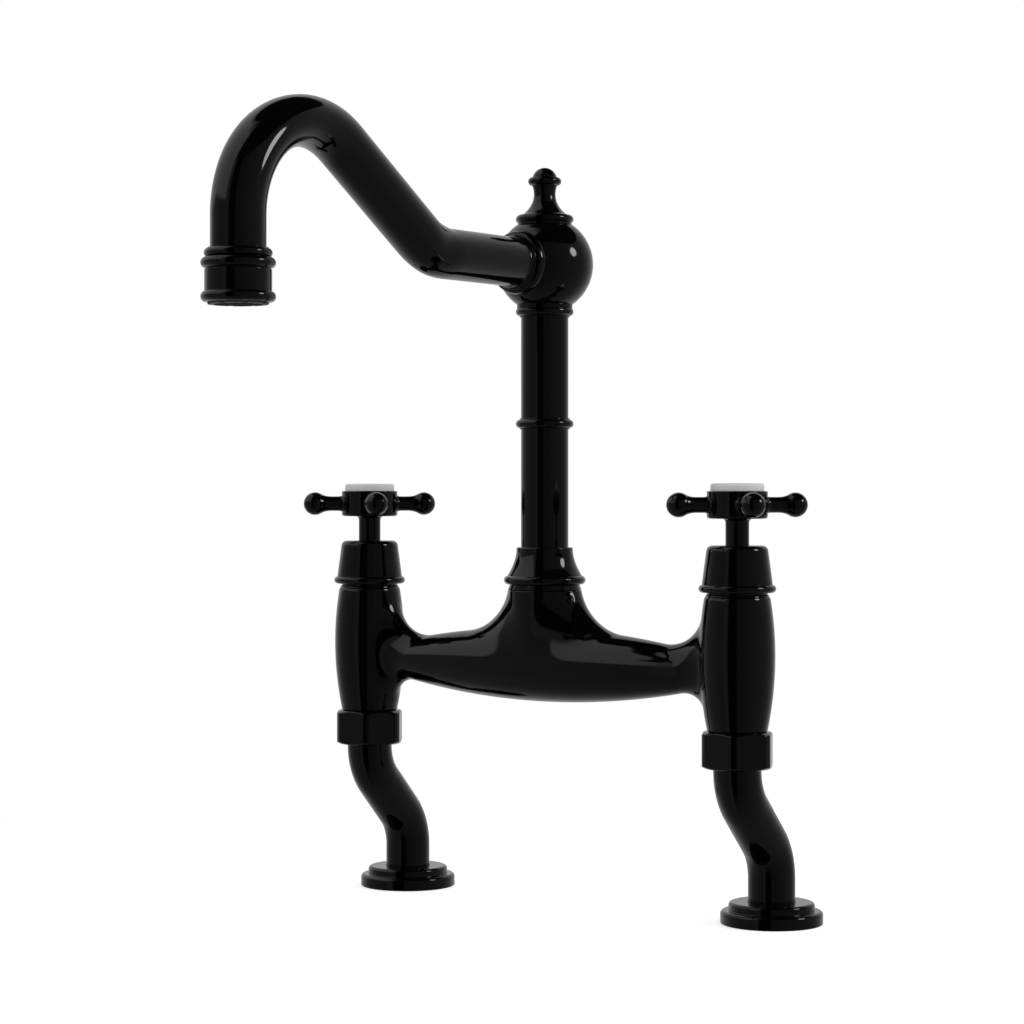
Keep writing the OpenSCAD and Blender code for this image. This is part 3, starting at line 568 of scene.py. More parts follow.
def cut_off(mesh: bmesh.types.BMesh, place: float, way: Spot) -> None:
    """Cuts off what lies past a level or upright plane.

    Args:
        mesh: The mesh, in metres.
        place: The plane's place in metres, on the axis of X, Y or Z that it crosses.
        way: The direction of what goes.
    """
    spot = tuple(place * abs(part) for part in way)
    geometry = mesh.verts[:] + mesh.edges[:] + mesh.faces[:]
    bmesh.ops.bisect_plane(mesh, geom=geometry, plane_co=spot, plane_no=way, clear_outer=True, dist=1e-8)


def add_linked(name: str, data: bpy.types.ID) -> bpy.types.Object:
    """Adds an object with its data to the scene."""
    made = bpy.data.objects.new(name, data)
    bpy.context.scene.collection.objects.link(made)
    return made


def dress(made: bpy.types.Object, finish: Finish, body: Body, node: str) -> bpy.types.Object:
    """Gives a piece its finish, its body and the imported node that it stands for.

    Args:
        made: The piece.
        finish: Its material.
        body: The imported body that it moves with.
        node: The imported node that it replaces.

    Returns:
        The piece.
    """
    made.data.materials.clear()
    made.data.materials.append(finish.material())
    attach(made, body.value)
    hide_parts(node)
    log.info("%s: %d faces, replaces %s", made.name, len(made.data.polygons), node)
    return made


def add_piece(
    name: str, patches: Sequence[Patch], body: Body, node: str, finish: Finish = LACQUER
) -> bpy.types.Object:
    """Adds a dressed piece made of patches."""
    return dress(add_mesh(name, patches_mesh(patches)), finish, body, node)


@dataclass(frozen=True)
class BridgeCasting:
    """The casting: two barrels, and between them a bellied bar that flares up into the boss."""

    mid_r: float = 17.1
    end_r: float = 9.9
    end_inset: float = 27.0
    boss_r: float = 16.9
    boss_fillet: float = 25.5
    boss_sink: float = 14.0
    boss_taper: float = 0.4
    barrel_foot_r: float = 13.3
    barrel_belly_r: float = 16.8
    barrel_belly_rise: float = 7.7
    barrel_top_r: float = 14.4
    shoulder: float = 0.9
    shoulder_h: float = 1.7
    fillet_top: float = 22.0
    fillet_under: float = 13.0
    edge: float = 0.8
    spigot_r: float = 12.0
    spigot_bore_r: float = 7.5
    spigot_l: float = 8.2
    spigot_lap: float = 0.5
    edge_steps: int = 6
    cell: float = 0.85
    margin: float = 20.0
    end_margin: float = 3.0

    def barrel_radius(self, z: np.ndarray) -> np.ndarray:
        """The barrel's radius at a height above the bar's axis: parabolas, and a slope below the bonnet."""
        foot = LAYOUT.barrel_bottom_z - LAYOUT.bridge_axis_z - self.barrel_belly_rise
        top = LAYOUT.barrel_top_z - LAYOUT.bridge_axis_z - self.barrel_belly_rise
        rise = z - self.barrel_belly_rise
        drop = np.where(
            rise < 0,
            (self.barrel_belly_r - self.barrel_foot_r) * (rise / foot) ** 2,
            (self.barrel_belly_r - self.barrel_top_r) * (rise / top) ** 2,
        )
        slope = self.shoulder * np.clip(1 + (rise - top) / self.shoulder_h, 0, 1)
        return self.barrel_belly_r - drop - slope

    @staticmethod
    def blended(a: np.ndarray, b: np.ndarray, r: np.ndarray, likeness: np.ndarray) -> np.ndarray:
        """Joins two forms with the fillet that a ball of radius r leaves as it rolls along both.

        With u = r - a, v = r - b and c the cosine between the forms' slopes, the ball's middle lies at
        sqrt(u^2 + v^2 - 2 u v c) / sqrt(1 - c^2) from the point. The fillet counts only between the two
        places where the ball touches, which is where u > v c and v > u c.

        Args:
            a: Gap from the first form.
            b: Gap from the second form.
            r: Radius of the ball.
            likeness: The cosine between the two forms' slopes.

        Returns:
            The gap from the joined form.
        """
        u, v, c = np.maximum(r - a, 0), np.maximum(r - b, 0), np.minimum(likeness, 0.9999)
        ball = r - np.sqrt(np.maximum(u * u + v * v - 2 * u * v * c, 0) / (1 - c * c))
        return np.where((u > v * c) & (v > u * c), ball, np.minimum(a, b))

    @staticmethod
    def likeness(x: np.ndarray, y: np.ndarray, z: np.ndarray) -> np.ndarray:
        """The cosine between the slopes of the bar and of an upright form: 0 above and 1 in front."""
        return y * y / (np.hypot(y, z) * np.hypot(x, y) + 0.001)

    def field(self, points: np.ndarray) -> np.ndarray:
        """The gap from the casting's skin, below zero inside it.

        The bar's radius falls with the square of the distance from the middle. It is filleted into the boss
        above its axis, where the boss sinks into it, and into the nearer barrel.

        Args:
            points: Any grid of points in millimetres.

        Returns:
            The gap at each point.
        """
        x = np.abs(points[..., 0])
        y = points[..., 1] + LAYOUT.leg_offset
        z = points[..., 2] - LAYOUT.bridge_axis_z
        half = LAYOUT.valve_spacing / 2
        bar = np.hypot(y, z) - (self.mid_r - (self.mid_r - self.end_r) * (x / (half - self.end_inset)) ** 2)
        boss = np.hypot(x, y) - self.boss_r + self.boss_taper * np.clip(1 - z / self.boss_sink, 0, 1) ** 2
        filleted = self.blended(bar, boss, np.full_like(bar, self.boss_fillet), self.likeness(x, y, z))
        middle = np.where(z > 0, filleted, bar)
        barrel = np.hypot(half - x, y) - self.barrel_radius(z)
        mean = (self.fillet_top + self.fillet_under) / 2
        lean = (self.fillet_top - self.fillet_under) / 2 * z / np.maximum(np.hypot(y, z), 0.001)
        joined = self.blended(middle, barrel, mean + lean, self.likeness(half - x, y, z))
        outer = np.where(x < half, joined, barrel)
        return np.where(x < half / 2, middle, outer)

    def slope(self, points: np.ndarray) -> np.ndarray:
        """The field's slope, from differences over a tenth of a millimetre."""
        steps = np.eye(3) * 0.05
        gaps = [self.field(points + step) - self.field(points - step) for step in steps]
        return np.stack(gaps, axis=-1) / 0.1

    def settle(self, points: np.ndarray) -> np.ndarray:
        """Moves points onto the skin, by three steps of gap times slope over the slope's square."""
        for _ in range(3):
            slope = self.slope(points)
            points = points - slope * (self.field(points) / np.maximum((slope**2).sum(-1), 1e-6))[..., None]
        return points

    @staticmethod
    def picked(axis: int, start: tuple[int, int], sizes: Sequence[int]) -> tuple[slice, ...]:
        """A window on a grid: whole along one axis, and of the given sizes along the other two.

        Args:
            axis: The axis along which it is whole.
            start: Where it starts along the other two.
            sizes: Its sizes along all three, of which that of the first isn't read.

        Returns:
            A slice for each axis.
        """
        window = [slice(None)] * 3
        for k, first in zip([k for k in range(3) if k != axis], start):
            window[k] = slice(first, first + sizes[k])
        return tuple(window)

    def net(self) -> Patch:
        """Nets the skin: each cell that it crosses gets a point at the mean of its edges' crossings.

        Each grid edge that it crosses gets a quad of the four cells round the edge. The points are then
        evened out along the skin and moved onto it.

        Returns:
            The patch, open above and below.
        """
        reach = LAYOUT.valve_spacing / 2 + self.margin
        spans = (
            (-reach, reach),
            (-LAYOUT.leg_offset - self.margin, -LAYOUT.leg_offset + self.margin),
            (LAYOUT.barrel_bottom_z - self.end_margin, LAYOUT.barrel_top_z + self.end_margin),
        )
        axes = [np.arange(low, high, self.cell) for low, high in spans]
        corners = np.stack(np.meshgrid(*axes, indexing="ij"), axis=-1)
        gap = self.field(corners)
        inside = gap < 0
        cells = tuple(size - 1 for size in gap.shape)
        inner = tuple(size - 1 for size in cells)
        total = np.zeros((*cells, 3))
        hits = np.zeros(cells)
        quads = []
        numbers = np.arange(int(np.prod(cells))).reshape(cells)
        for axis in range(3):
            low = tuple(slice(None, -1) if k == axis else slice(None) for k in range(3))
            high = tuple(slice(1, None) if k == axis else slice(None) for k in range(3))
            crossed = inside[low] != inside[high]
            share = np.where(crossed, gap[low] / np.where(crossed, gap[low] - gap[high], 1), 0)
            spot = corners[low] + (corners[high] - corners[low]) * share[..., None]
            for start in CORNERS:
                part = self.picked(axis, start, cells)
                total += spot[part] * crossed[part][..., None]
                hits += crossed[part]
            chosen = crossed[self.picked(axis, (1, 1), inner)]
            ring = [numbers[self.picked(axis, start, inner)][chosen] for start in CORNERS]
            quads.append(np.stack(ring, axis=-1))
        kept = hits > 0
        order = np.full(numbers.size, -1)
        order[numbers[kept]] = np.arange(int(kept.sum()))
        faces = order[np.vstack(quads)]
        points = self.settle(total[kept] / hits[kept][:, None])
        return Patch(self.evened(points, faces), faces)

    def evened(self, points: np.ndarray, faces: np.ndarray) -> np.ndarray:
        """Evens the points out, five times: each moves along the skin halfway to its neighbours' mean.

        Args:
            points: The points, on the skin.
            faces: Rows of four point numbers.

        Returns:
            The moved points. Those within 0.6 of a cell of the open ends stay.
        """
        pairs = np.vstack([faces[:, [i, (i + 1) % 4]] for i in range(4)])
        pairs = np.vstack([pairs, pairs[:, ::-1]])
        here, there = pairs.T
        size = len(points)
        count = np.maximum(np.bincount(here, minlength=size), 1)[:, None]
        rim = 0.6 * self.cell
        free = (points[:, 2] > points[:, 2].min() + rim) & (points[:, 2] < points[:, 2].max() - rim)
        for _ in range(5):
            sums = [np.bincount(here, weights=points[there, k], minlength=size) for k in range(3)]
            shift = np.stack(sums, axis=1) / count - points
            slope = self.slope(points)
            slope = slope / np.maximum(np.linalg.norm(slope, axis=1, keepdims=True), 1e-6)
            shift -= slope * (shift * slope).sum(1, keepdims=True)
            points = self.settle(points + 0.5 * shift * free[:, None])
        return points

    @staticmethod
    def open_edges(mesh: bmesh.types.BMesh, z: float) -> list[bmesh.types.BMEdge]:
        """The open edges that lie at a height in metres."""
        return [e for e in mesh.edges if e.is_boundary and all(abs(v.co.z - z) < MERGE_GAP for v in e.verts)]

    def close_end(self, mesh: bmesh.types.BMesh, z: float, up: float) -> None:
        """Cuts the skin off level, and closes it with a rounded edge and a flat face.

        Each ring of the edge lies edge * (cos(a) - 1) along the skin's level normal and edge * sin(a) up or
        down from the cut.

        Args:
            mesh: The skin, in metres.
            z: Height of the flat face in millimetres.
            up: 1 for a top and -1 for a bottom.
        """
        cut = (z - up * self.edge) * MM
        cut_off(mesh, cut, (0, 0, up))
        rim = self.open_edges(mesh, cut)
        place = np.array([[v.co[:] for v in e.verts] for e in rim]).reshape(-1, 3) / MM
        rings = [place]
        angles = np.radians(np.linspace(0, 90, self.edge_steps + 1))
        for before, after in zip(angles[:-1], angles[1:]):
            level = self.slope(place)[:, :2]
            level /= np.linalg.norm(level, axis=1, keepdims=True)
            inward = level * self.edge * (math.cos(after) - math.cos(before))
            rise = np.full((len(place), 1), up * self.edge * (math.sin(after) - math.sin(before)))
            place = place + np.hstack([inward, rise])
            rings.append(place)
        columns = np.arange(len(place)).reshape(-1, 2)
        rows = np.arange(self.edge_steps)[:, None, None] * len(place)
        quads = np.concatenate([rows + columns, rows + len(place) + columns[:, ::-1]], axis=-1)
        add_patches(mesh, [Patch(np.vstack(rings), quads.reshape(-1, 4))])
        bmesh.ops.remove_doubles(mesh, verts=mesh.verts, dist=MERGE_GAP)
        bmesh.ops.holes_fill(mesh, edges=self.open_edges(mesh, z * MM), sides=0)

    def build(self) -> None:
        """Adds the casting, with the spigots under its barrels."""
        skin = patches_mesh([self.net()])
        self.close_end(skin, LAYOUT.barrel_top_z, 1)
        self.close_end(skin, LAYOUT.barrel_bottom_z, -1)
        low = LAYOUT.barrel_bottom_z - self.spigot_l
        high = LAYOUT.barrel_bottom_z + self.spigot_lap
        spigot = rounded([
            (self.spigot_bore_r, low, 0.3),
            (self.spigot_r, low, 0.5),
            (self.spigot_r, high, 0),
            (self.spigot_bore_r, high, 0),
        ])
        add_patches(skin, [turned(spigot, LAYOUT.valve(side)) for side in Side])
        dress(add_mesh("bridge_casting", skin), LACQUER, Body.BRIDGE, "bridge_body")


@dataclass(frozen=True)
class DeckLeg:
    """A cranked leg with its union nut and its two-step flange."""

    side: Side
    leg_r: float = 10.7
    bore_r: float = 7.0
    bend_r: float = 25.0
    bend_angle: float = 45.0
    top_l: float = 7.5
    collar_r: float = 11.8
    collar_h: float = 3.0
    collar_lap: float = 1.0
    leg_top_z: float = 79.2
    hole_gap: float = 0.15
    nut_af: float = 30.3
    nut_corner_r: float = 16.65
    nut_h: float = 16.2
    nut_lip_h: float = 3.4
    nut_bore_r: float = 12.03
    nut_face_drop: float = 0.5
    nut_cone: float = 1.9
    nut_softness: float = 0.22
    left_nut_turn: float = 2.0
    right_nut_turn: float = -5.0
    flange_r: float = 23.2
    flange_base_h: float = 6.0
    flange_step_r: float = 19.5
    flange_step_h: float = 3.8
    seal_recess: Spot = (14.47, 17.53, 1.6)

    @property
    def nut_turn(self) -> float:
        """The turn at which the nut was left, in degrees."""
        return self.left_nut_turn if self.side is Side.LEFT else self.right_nut_turn

    def path(self) -> np.ndarray:
        """Stations of the leg: up, over by one bend, back by the other, and up to the union."""
        turn = math.radians(self.bend_angle)
        slant = (LAYOUT.leg_offset - 2 * self.bend_r * (1 - math.cos(turn))) / math.sin(turn)
        rise = 2 * self.bend_r * math.sin(turn) + slant * math.cos(turn)
        high = self.leg_top_z - self.top_l
        headings = (90, 90 - self.bend_angle)
        over = turn_path((self.bend_r, high - rise), self.bend_r, headings, 24)
        back = turn_path((LAYOUT.leg_offset - self.bend_r, high), self.bend_r, headings[::-1], 24)
        top = (LAYOUT.leg_offset, self.leg_top_z, 90.0, 0.0)
        return joined_path((0.0, 0.0, 90.0, 0.0), (over, back), top, (6, 4, 3))

    def nut(self) -> Patch:
        """The union nut.

        Its wall is a soft minimum of the hexagon and of the two cones that the lathe cut at its ends. The
        hexagon is flat / cos(angle from the middle of a flat), with its corners turned down to a radius. The
        wall closes over the top, down the bore and under the lip.

        Returns:
            The patch.
        """
        angles = np.linspace(0, 2 * math.pi, 6 * 36, endpoint=False)
        flat = self.nut_af / 2
        low = LAYOUT.barrel_bottom_z - self.nut_h
        high = LAYOUT.barrel_bottom_z
        from_flat = (angles - math.radians(self.nut_turn)) % (math.pi / 3) - math.pi / 6
        hexagon = np.minimum(flat / np.cos(from_flat), self.nut_corner_r)
        heights = low + (high - low) * (1 - np.cos(np.linspace(0, math.pi, 61))) / 2
        cone = flat - self.nut_face_drop + self.nut_cone * np.minimum(heights - low, high - heights)
        soft = self.nut_softness
        wall = -soft * np.logaddexp(-hexagon / soft, -cone[:, None] / soft)
        hole = self.leg_r + self.hole_gap
        lip = low + self.nut_lip_h
        inner = np.array([
            (self.nut_bore_r + 0.5, high),
            (self.nut_bore_r, high - 0.5),
            (self.nut_bore_r, lip),
            (hole, lip),
            (hole, low + 0.4),
            (hole + 0.4, low),
        ])
        radii = np.vstack([wall, np.repeat(inner[:, :1], len(angles), axis=1)])
        levels = np.repeat(np.concatenate([heights, inner[:, 1]])[:, None], len(angles), axis=1)
        points = np.stack([radii * np.cos(angles), radii * np.sin(angles), levels], axis=-1)
        return grid_patch(points + np.array(LAYOUT.valve(self.side)), wrap_rows=True)

    def flange(self) -> np.ndarray:
        """The flange: a base and a step with rounded edges, and the seal's groove below."""
        inner, outer, depth = self.seal_recess
        top = self.flange_base_h + self.flange_step_h
        hole = self.leg_r + self.hole_gap
        return rounded([
            (hole, 0, 0.2),
            (inner, 0, 0),
            (inner, depth, 0),
            (outer, depth, 0),
            (outer, 0, 0),
            (self.flange_r, 0, 0.6),
            (self.flange_r, self.flange_base_h, 1.7),
            (self.flange_step_r, self.flange_base_h, 0.35),
            (self.flange_step_r, top, 1.6),
            (hole, top, 0.3),
        ])

    def build(self) -> None:
        """Adds the leg, the nut and the flange."""
        name = self.side.label
        valve, deck_hole = LAYOUT.valve(self.side), LAYOUT.deck_hole(self.side)
        inside, low = self.leg_r - self.collar_lap, self.leg_top_z - self.collar_h
        collar = rounded([
            (inside, low, 0),
            (self.collar_r, low, 0.4),
            (self.collar_r, self.leg_top_z, 0.4),
            (inside, self.leg_top_z, 0),
        ])
        leg = [tube(self.path(), deck_hole, self.leg_r, self.bore_r), turned(collar, valve)]
        add_piece(f"{name}_cranked_leg", leg, Body.BRIDGE, f"{name}_leg")
        add_piece(f"{name}_hexagon_nut", [self.nut()], Body.BRIDGE, f"{name}_union_nut")
        add_piece(f"{name}_stepped_flange", [turned(self.flange(), deck_hole)], Body.BRIDGE, f"{name}_flange")


@dataclass(frozen=True)
class ValveBonnet:
    """The tapered cover of a valve, with the bead at its foot."""

    side: Side
    base_r: float = 15.7
    top_r: float = 13.4
    edge: float = 2.6
    foot_r: float = 13.4
    bead_r: float = 17.15
    bead_half: float = 1.75
    bead_rise: float = 2.5
    bead_gap: float = 0.05
    cavity_r: float = 12.49
    upper_cavity_r: float = 11.19
    shoulder_z: float = 155.4
    roof: float = 3.5
    stem_hole_r: float = 5.65

    def build(self) -> None:
        """Adds the bonnet: foot, bead, cone, rounded top and the cavity under it."""
        low, high = LAYOUT.barrel_top_z, LAYOUT.bonnet_top_z
        bead = bead_run(self.bead_r, self.bead_half, low + self.bead_rise, self.foot_r, self.base_r)
        upper = rounded(
            [
                (self.base_r, float(bead[-1, 1]) + self.bead_gap, 0),
                (self.top_r, high, self.edge),
                (self.stem_hole_r, high, 0.5),
                (self.stem_hole_r, high - self.roof, 0.3),
                (self.upper_cavity_r, high - self.roof, 0.5),
                (self.upper_cavity_r, self.shoulder_z, 0),
                (self.cavity_r, self.shoulder_z, 0),
                (self.cavity_r, low, 0),
                (self.foot_r, low, 0),
            ],
            closed=False,
        )
        cover = turned(np.vstack([bead, upper]), LAYOUT.valve(self.side))
        name = self.side.label
        add_piece(f"{name}_bonnet_cover", [cover], Body.BRIDGE, f"{name}_bonnet")


@dataclass(frozen=True)
class CrossHandle:
    """A hub with four ball-ended arms on its stem, and the porcelain index in its top."""

    side: Side
    axis_z: float = 188.95
    hub_r: float = 13.5
    hub_h: float = 12.2
    stem_r: float = 5.25
    stem_bottom_z: float = 164.5
    stem_bore_r: float = 3.63
    spindle_top_z: float = 187.05
    screw_hole_r: float = 2.1
    screw_seat_z: float = 190.05
    screw_pocket_r: float = 4.4
    root: float = 11.0
    flare_rise: float = 1.5
    flare_start: float = 12.4
    flare_l: float = 3.4
    neck_r: float = 3.5
    neck_reach: float = 4.5
    ball_r: float = 5.5
    ball_offset: float = 26.6
    arm_count: int = 4
    index_r: float = 12.05
    index_rise: float = 3.6
    index_recess: float = 2.0

    @property
    def body(self) -> Body:
        """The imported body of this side's handle."""
        return Body.LEFT_HANDLE if self.side is Side.LEFT else Body.RIGHT_HANDLE

    def hub(self) -> Patch:
        """The stem and the hub, bored for the spindle and its screw and recessed for the index."""
        low, high = self.axis_z - self.hub_h / 2, self.axis_z + self.hub_h / 2
        profile = rounded([
            (self.stem_bore_r, self.stem_bottom_z, 0.2),
            (self.stem_r, self.stem_bottom_z, 0.3),
            (self.stem_r, low, 1.8),
            (self.hub_r, low, 1.2),
            (self.hub_r, high, 0.45),
            (self.index_r + FIT, high, 0.3),
            (self.index_r + FIT, high - self.index_recess, 0.2),
            (self.screw_pocket_r, high - self.index_recess, 0.2),
            (self.screw_pocket_r, self.screw_seat_z, 0),
            (self.screw_hole_r, self.screw_seat_z, 0),
            (self.screw_hole_r, self.spindle_top_z, 0),
            (self.stem_bore_r, self.spindle_top_z, 0),
        ])
        return turned(profile, LAYOUT.valve(self.side))

    def arm_profile(self) -> np.ndarray:
        """An arm: a small flare at the hub, a narrow neck, and a swelling that runs into the ball.

        The neck's radius grows with a power of the distance, chosen so that it meets the ball in its own
        direction, at half the ball's radius before its middle.

        Returns:
            Rows of distance from the arm's axis and distance from the handle's axis.
        """
        join = self.ball_offset - self.ball_r / 2
        join_r = math.sqrt(self.ball_r**2 - (self.ball_offset - join) ** 2)
        neck_start, neck_end = self.flare_start + self.flare_l, self.hub_r + self.neck_reach
        power = (self.ball_offset - join) / join_r * (join - neck_end) / (join_r - self.neck_r)
        root_r = self.neck_r + self.flare_rise
        root = np.array([[0.0, self.root], [root_r, self.root]])
        flare = curve_run((root_r, self.flare_start), (self.neck_r, neck_start), 3, 10)
        neck = np.stack([np.full(5, self.neck_r), np.linspace(neck_start, neck_end, 6)[1:]], axis=1)
        swell = curve_run((join_r, join), (self.neck_r, neck_end), power, 24)[-2::-1]
        ball = arc_run(0, self.ball_offset, self.ball_r, -30, 90, 40)[1:]
        return np.vstack([root, flare, neck, swell, ball])

    def build(self) -> None:
        """Adds the handle and its index."""
        x, y, _ = LAYOUT.valve(self.side)
        middle = (x, y, self.axis_z)
        headings = [45 + 360 * i / self.arm_count for i in range(self.arm_count)]
        arms = [turned(self.arm_profile(), middle, closed=False, heading=heading) for heading in headings]
        name = self.side.label
        add_piece(f"{name}_cross_handle", [self.hub(), *arms], self.body, f"{name}_handle")
        seat = self.axis_z + self.hub_h / 2 - self.index_recess
        top = self.axis_z + self.hub_h / 2 + self.index_rise
        rim = [(0, seat, 0), (self.index_r, seat, 0.2), (self.index_r - 0.15, top - 0.15, 1.2), (0, top, 0)]
        index = turned(rounded(rim, closed=False), (x, y, 0), closed=False)
        add_piece(f"{name}_porcelain_index", [index], self.body, f"{name}_index", PORCELAIN)


@dataclass(frozen=True)
class SwivelPost:
    """The collar on the boss, the post with its beads, the ball joint and the finial."""

    collar_foot_r: float = 16.95
    collar_slope: float = 0.85
    collar_h: float = 19.6
    collar_bead_rise: float = 4.4
    collar_flare_rise: float = 6.3
    collar_lip_r: float = 0.7
    collar_bead_r: float = 18.95
    collar_base_r: float = 17.35
    collar_top_r: float = 13.1
    post_r: float = 11.0
    post_bore_r: float = 8.5
    post_foot_z: float = 121.3
    post_top_share: float = 0.73
    recess_r: float = 13.17
    circlip_top_z: float = 146.7
    bead_r: float = 13.4
    bead_half: float = 2.0
    ring_step: float = 0.6
    upper_bead_drop: float = 1.4
    band_z: float = 226.2
    ball_r: float = 22.5
    ball_flat_r: float = 12.9
    arm_neck_r: float = 12.3
    finial_h: float = 26.6
    finial_bead_rise: float = 2.6
    finial_dish_rise: float = 2.2
    finial_foot_inset: float = 0.4
    finial_dish_inset: float = 3.2
    finial_neck_drop: float = 12.2
    finial_neck_flare: float = 0.9
    finial_bead_drop: float = 6.4
    finial_bead_half: float = 1.9
    finial_neck_r: float = 5.05
    finial_bead_r: float = 7.7
    finial_tip_r: float = 5.75
    sleeve_gap: float = 0.05

    @property
    def ball_flat(self) -> float:
        """Height of the ball's flats above and below its middle."""
        return math.sqrt(self.ball_r**2 - self.ball_flat_r**2)

    @property
    def ball_front(self) -> float:
        """Distance of the flat that the arm's collar sits on from the ball's middle."""
        return math.sqrt(self.ball_r**2 - self.arm_neck_r**2)

    def collar(self) -> np.ndarray:
        """The collar: sloped foot, bead, a flare that narrows to the post, and the sleeve that holds it."""
        low = LAYOUT.barrel_top_z
        top = low + self.collar_h
        waist_r = self.collar_foot_r - self.collar_slope
        bead_z = low + self.collar_bead_rise
        bead = bead_run(self.collar_bead_r, self.bead_half, bead_z, waist_r, self.collar_base_r)
        foot = [[self.collar_foot_r, low + 0.3], [waist_r, float(bead[0, 1]) - RUN_GAP]]
        flare_start = (self.collar_base_r, low + self.collar_flare_rise)
        flare = curve_run(flare_start, (self.collar_top_r, top - 2 * self.collar_lip_r), 1.7)
        bore = self.post_r + self.sleeve_gap
        lip_r = self.collar_lip_r
        lip = arc_run(self.collar_top_r - lip_r, top - lip_r, lip_r, 0, 90, 8)
        inner = rounded(
            [
                (self.collar_top_r - 0.9, top, 0),
                (bore, top, 0.35),
                (bore, self.circlip_top_z, 0),
                (self.recess_r, self.circlip_top_z, 0),
                (self.recess_r, low, 0),
                (self.collar_foot_r, low, 0),
            ],
            closed=False,
        )
        return np.vstack([foot, bead, flare, lip, inner])

    def ring(self, z: float, low: float, high: float, high_r: float) -> np.ndarray:
        """A bead with a small step under and over it, bored to sit on the post."""
        bore = self.post_r + FIT
        step = self.post_r + self.ring_step
        bead = bead_run(self.bead_r, self.bead_half, z, step, min(high_r, self.bead_r - 0.01))
        end = float(bead[0, 1]) - RUN_GAP
        under = rounded([(bore, low, 0), (step, low, 0.25), (step, end, 0)], closed=False)
        start = float(bead[-1, 1]) + RUN_GAP
        over = rounded([(high_r, start, 0), (high_r, high, 0.25), (bore, high, 0)], closed=False)
        return np.vstack([under, bead, over])

    def finial(self) -> np.ndarray:
        """The finial: foot, bead, dish, a waist that opens again into a small bead, and a round tip."""
        low = LAYOUT.arm_axis_z + self.ball_flat
        bead_z = low + self.finial_bead_rise
        dish_z = bead_z + self.finial_dish_rise
        neck_z = low + self.finial_h - self.finial_neck_drop
        small_z = low + self.finial_h - self.finial_bead_drop
        tip_z = low + self.finial_h - self.finial_tip_r
        dish_r = self.bead_r - self.finial_dish_inset
        foot_r = self.ball_flat_r - self.finial_foot_inset
        bead = bead_run(self.bead_r, self.bead_half, bead_z, foot_r, dish_r + 0.9)
        waist = curve_run((dish_r, dish_z), (self.finial_neck_r, neck_z), 2.2, 28)
        flare_top = (self.finial_neck_r + self.finial_neck_flare, small_z - 1.5)
        flare = curve_run(flare_top, (self.finial_neck_r, neck_z), 2, 12)[-2::-1]
        small_r = self.finial_bead_r
        small_half = self.finial_bead_half
        small_bead = bead_run(small_r, small_half, small_z, small_r - 1.6, self.finial_tip_r - 0.4)
        rise = np.clip((small_bead[-1, 1] - tip_z) / self.finial_tip_r, -1, 1)
        tip = arc_run(0, tip_z, self.finial_tip_r, math.degrees(math.asin(rise)), 90, 28)
        foot = np.array([[0.0, low], [foot_r, low], [foot_r, float(bead[0, 1]) - RUN_GAP]])
        return np.vstack([foot, bead, waist, flare, small_bead, tip[1:]])

    def ball(self) -> bmesh.types.BMesh:
        """The ball joint: a sphere with a flat below, a flat above, and one in front for the arm's collar."""
        edge = math.degrees(math.asin(self.ball_flat / self.ball_r))
        side = arc_run(0, 0, self.ball_r, -edge, edge, 120)
        profile = np.vstack([[[0.0, -self.ball_flat]], side, [[0.0, self.ball_flat]]])
        x, y, _ = LAYOUT.post
        mesh = patches_mesh([turned(profile, (x, y, LAYOUT.arm_axis_z), closed=False)])
        bmesh.ops.remove_doubles(mesh, verts=mesh.verts, dist=MERGE_GAP)
        cut_off(mesh, (y - self.ball_front) * MM, (0, -1, 0))
        bmesh.ops.holes_fill(mesh, edges=[e for e in mesh.edges if e.is_boundary], sides=0)
        return mesh

    def build(self) -> None:
        """Adds the collar, the post, its rings, the ball joint and the finial."""
        post = LAYOUT.post
        ring_z = LAYOUT.arm_axis_z - self.ball_flat
        top = LAYOUT.arm_axis_z - self.post_top_share * self.post_r
        add_piece("flared_spout_collar", [turned(self.collar(), post)], Body.BRIDGE, "spout_collar")
        tube_profile = rounded([
            (self.post_bore_r, self.post_foot_z, 0.3),
            (self.post_r, self.post_foot_z, 0.5),
            (self.post_r, top, 0.3),
            (self.post_bore_r, top, 0.2),
        ])
        add_piece("swivel_post", [turned(tube_profile, post)], Body.SPOUT, "post_tube")
        reach = self.bead_half + self.ring_step
        band = self.ring(self.band_z, self.band_z - reach, self.band_z + reach, self.post_r + self.ring_step)
        add_piece("post_middle_bead", [turned(band, post)], Body.SPOUT, "post_band")
        bead_z = ring_z - self.bead_half - self.upper_bead_drop
        top_ring = self.ring(bead_z, bead_z - reach, ring_z, self.ball_flat_r)
        add_piece("post_upper_bead", [turned(top_ring, post)], Body.SPOUT, "post_top_ring")
        dress(add_mesh("ball_joint_shell", self.ball()), LACQUER, Body.SPOUT, "ball_joint")
        add_piece("turned_finial", [turned(self.finial(), post, closed=False)], Body.SPOUT, "finial")


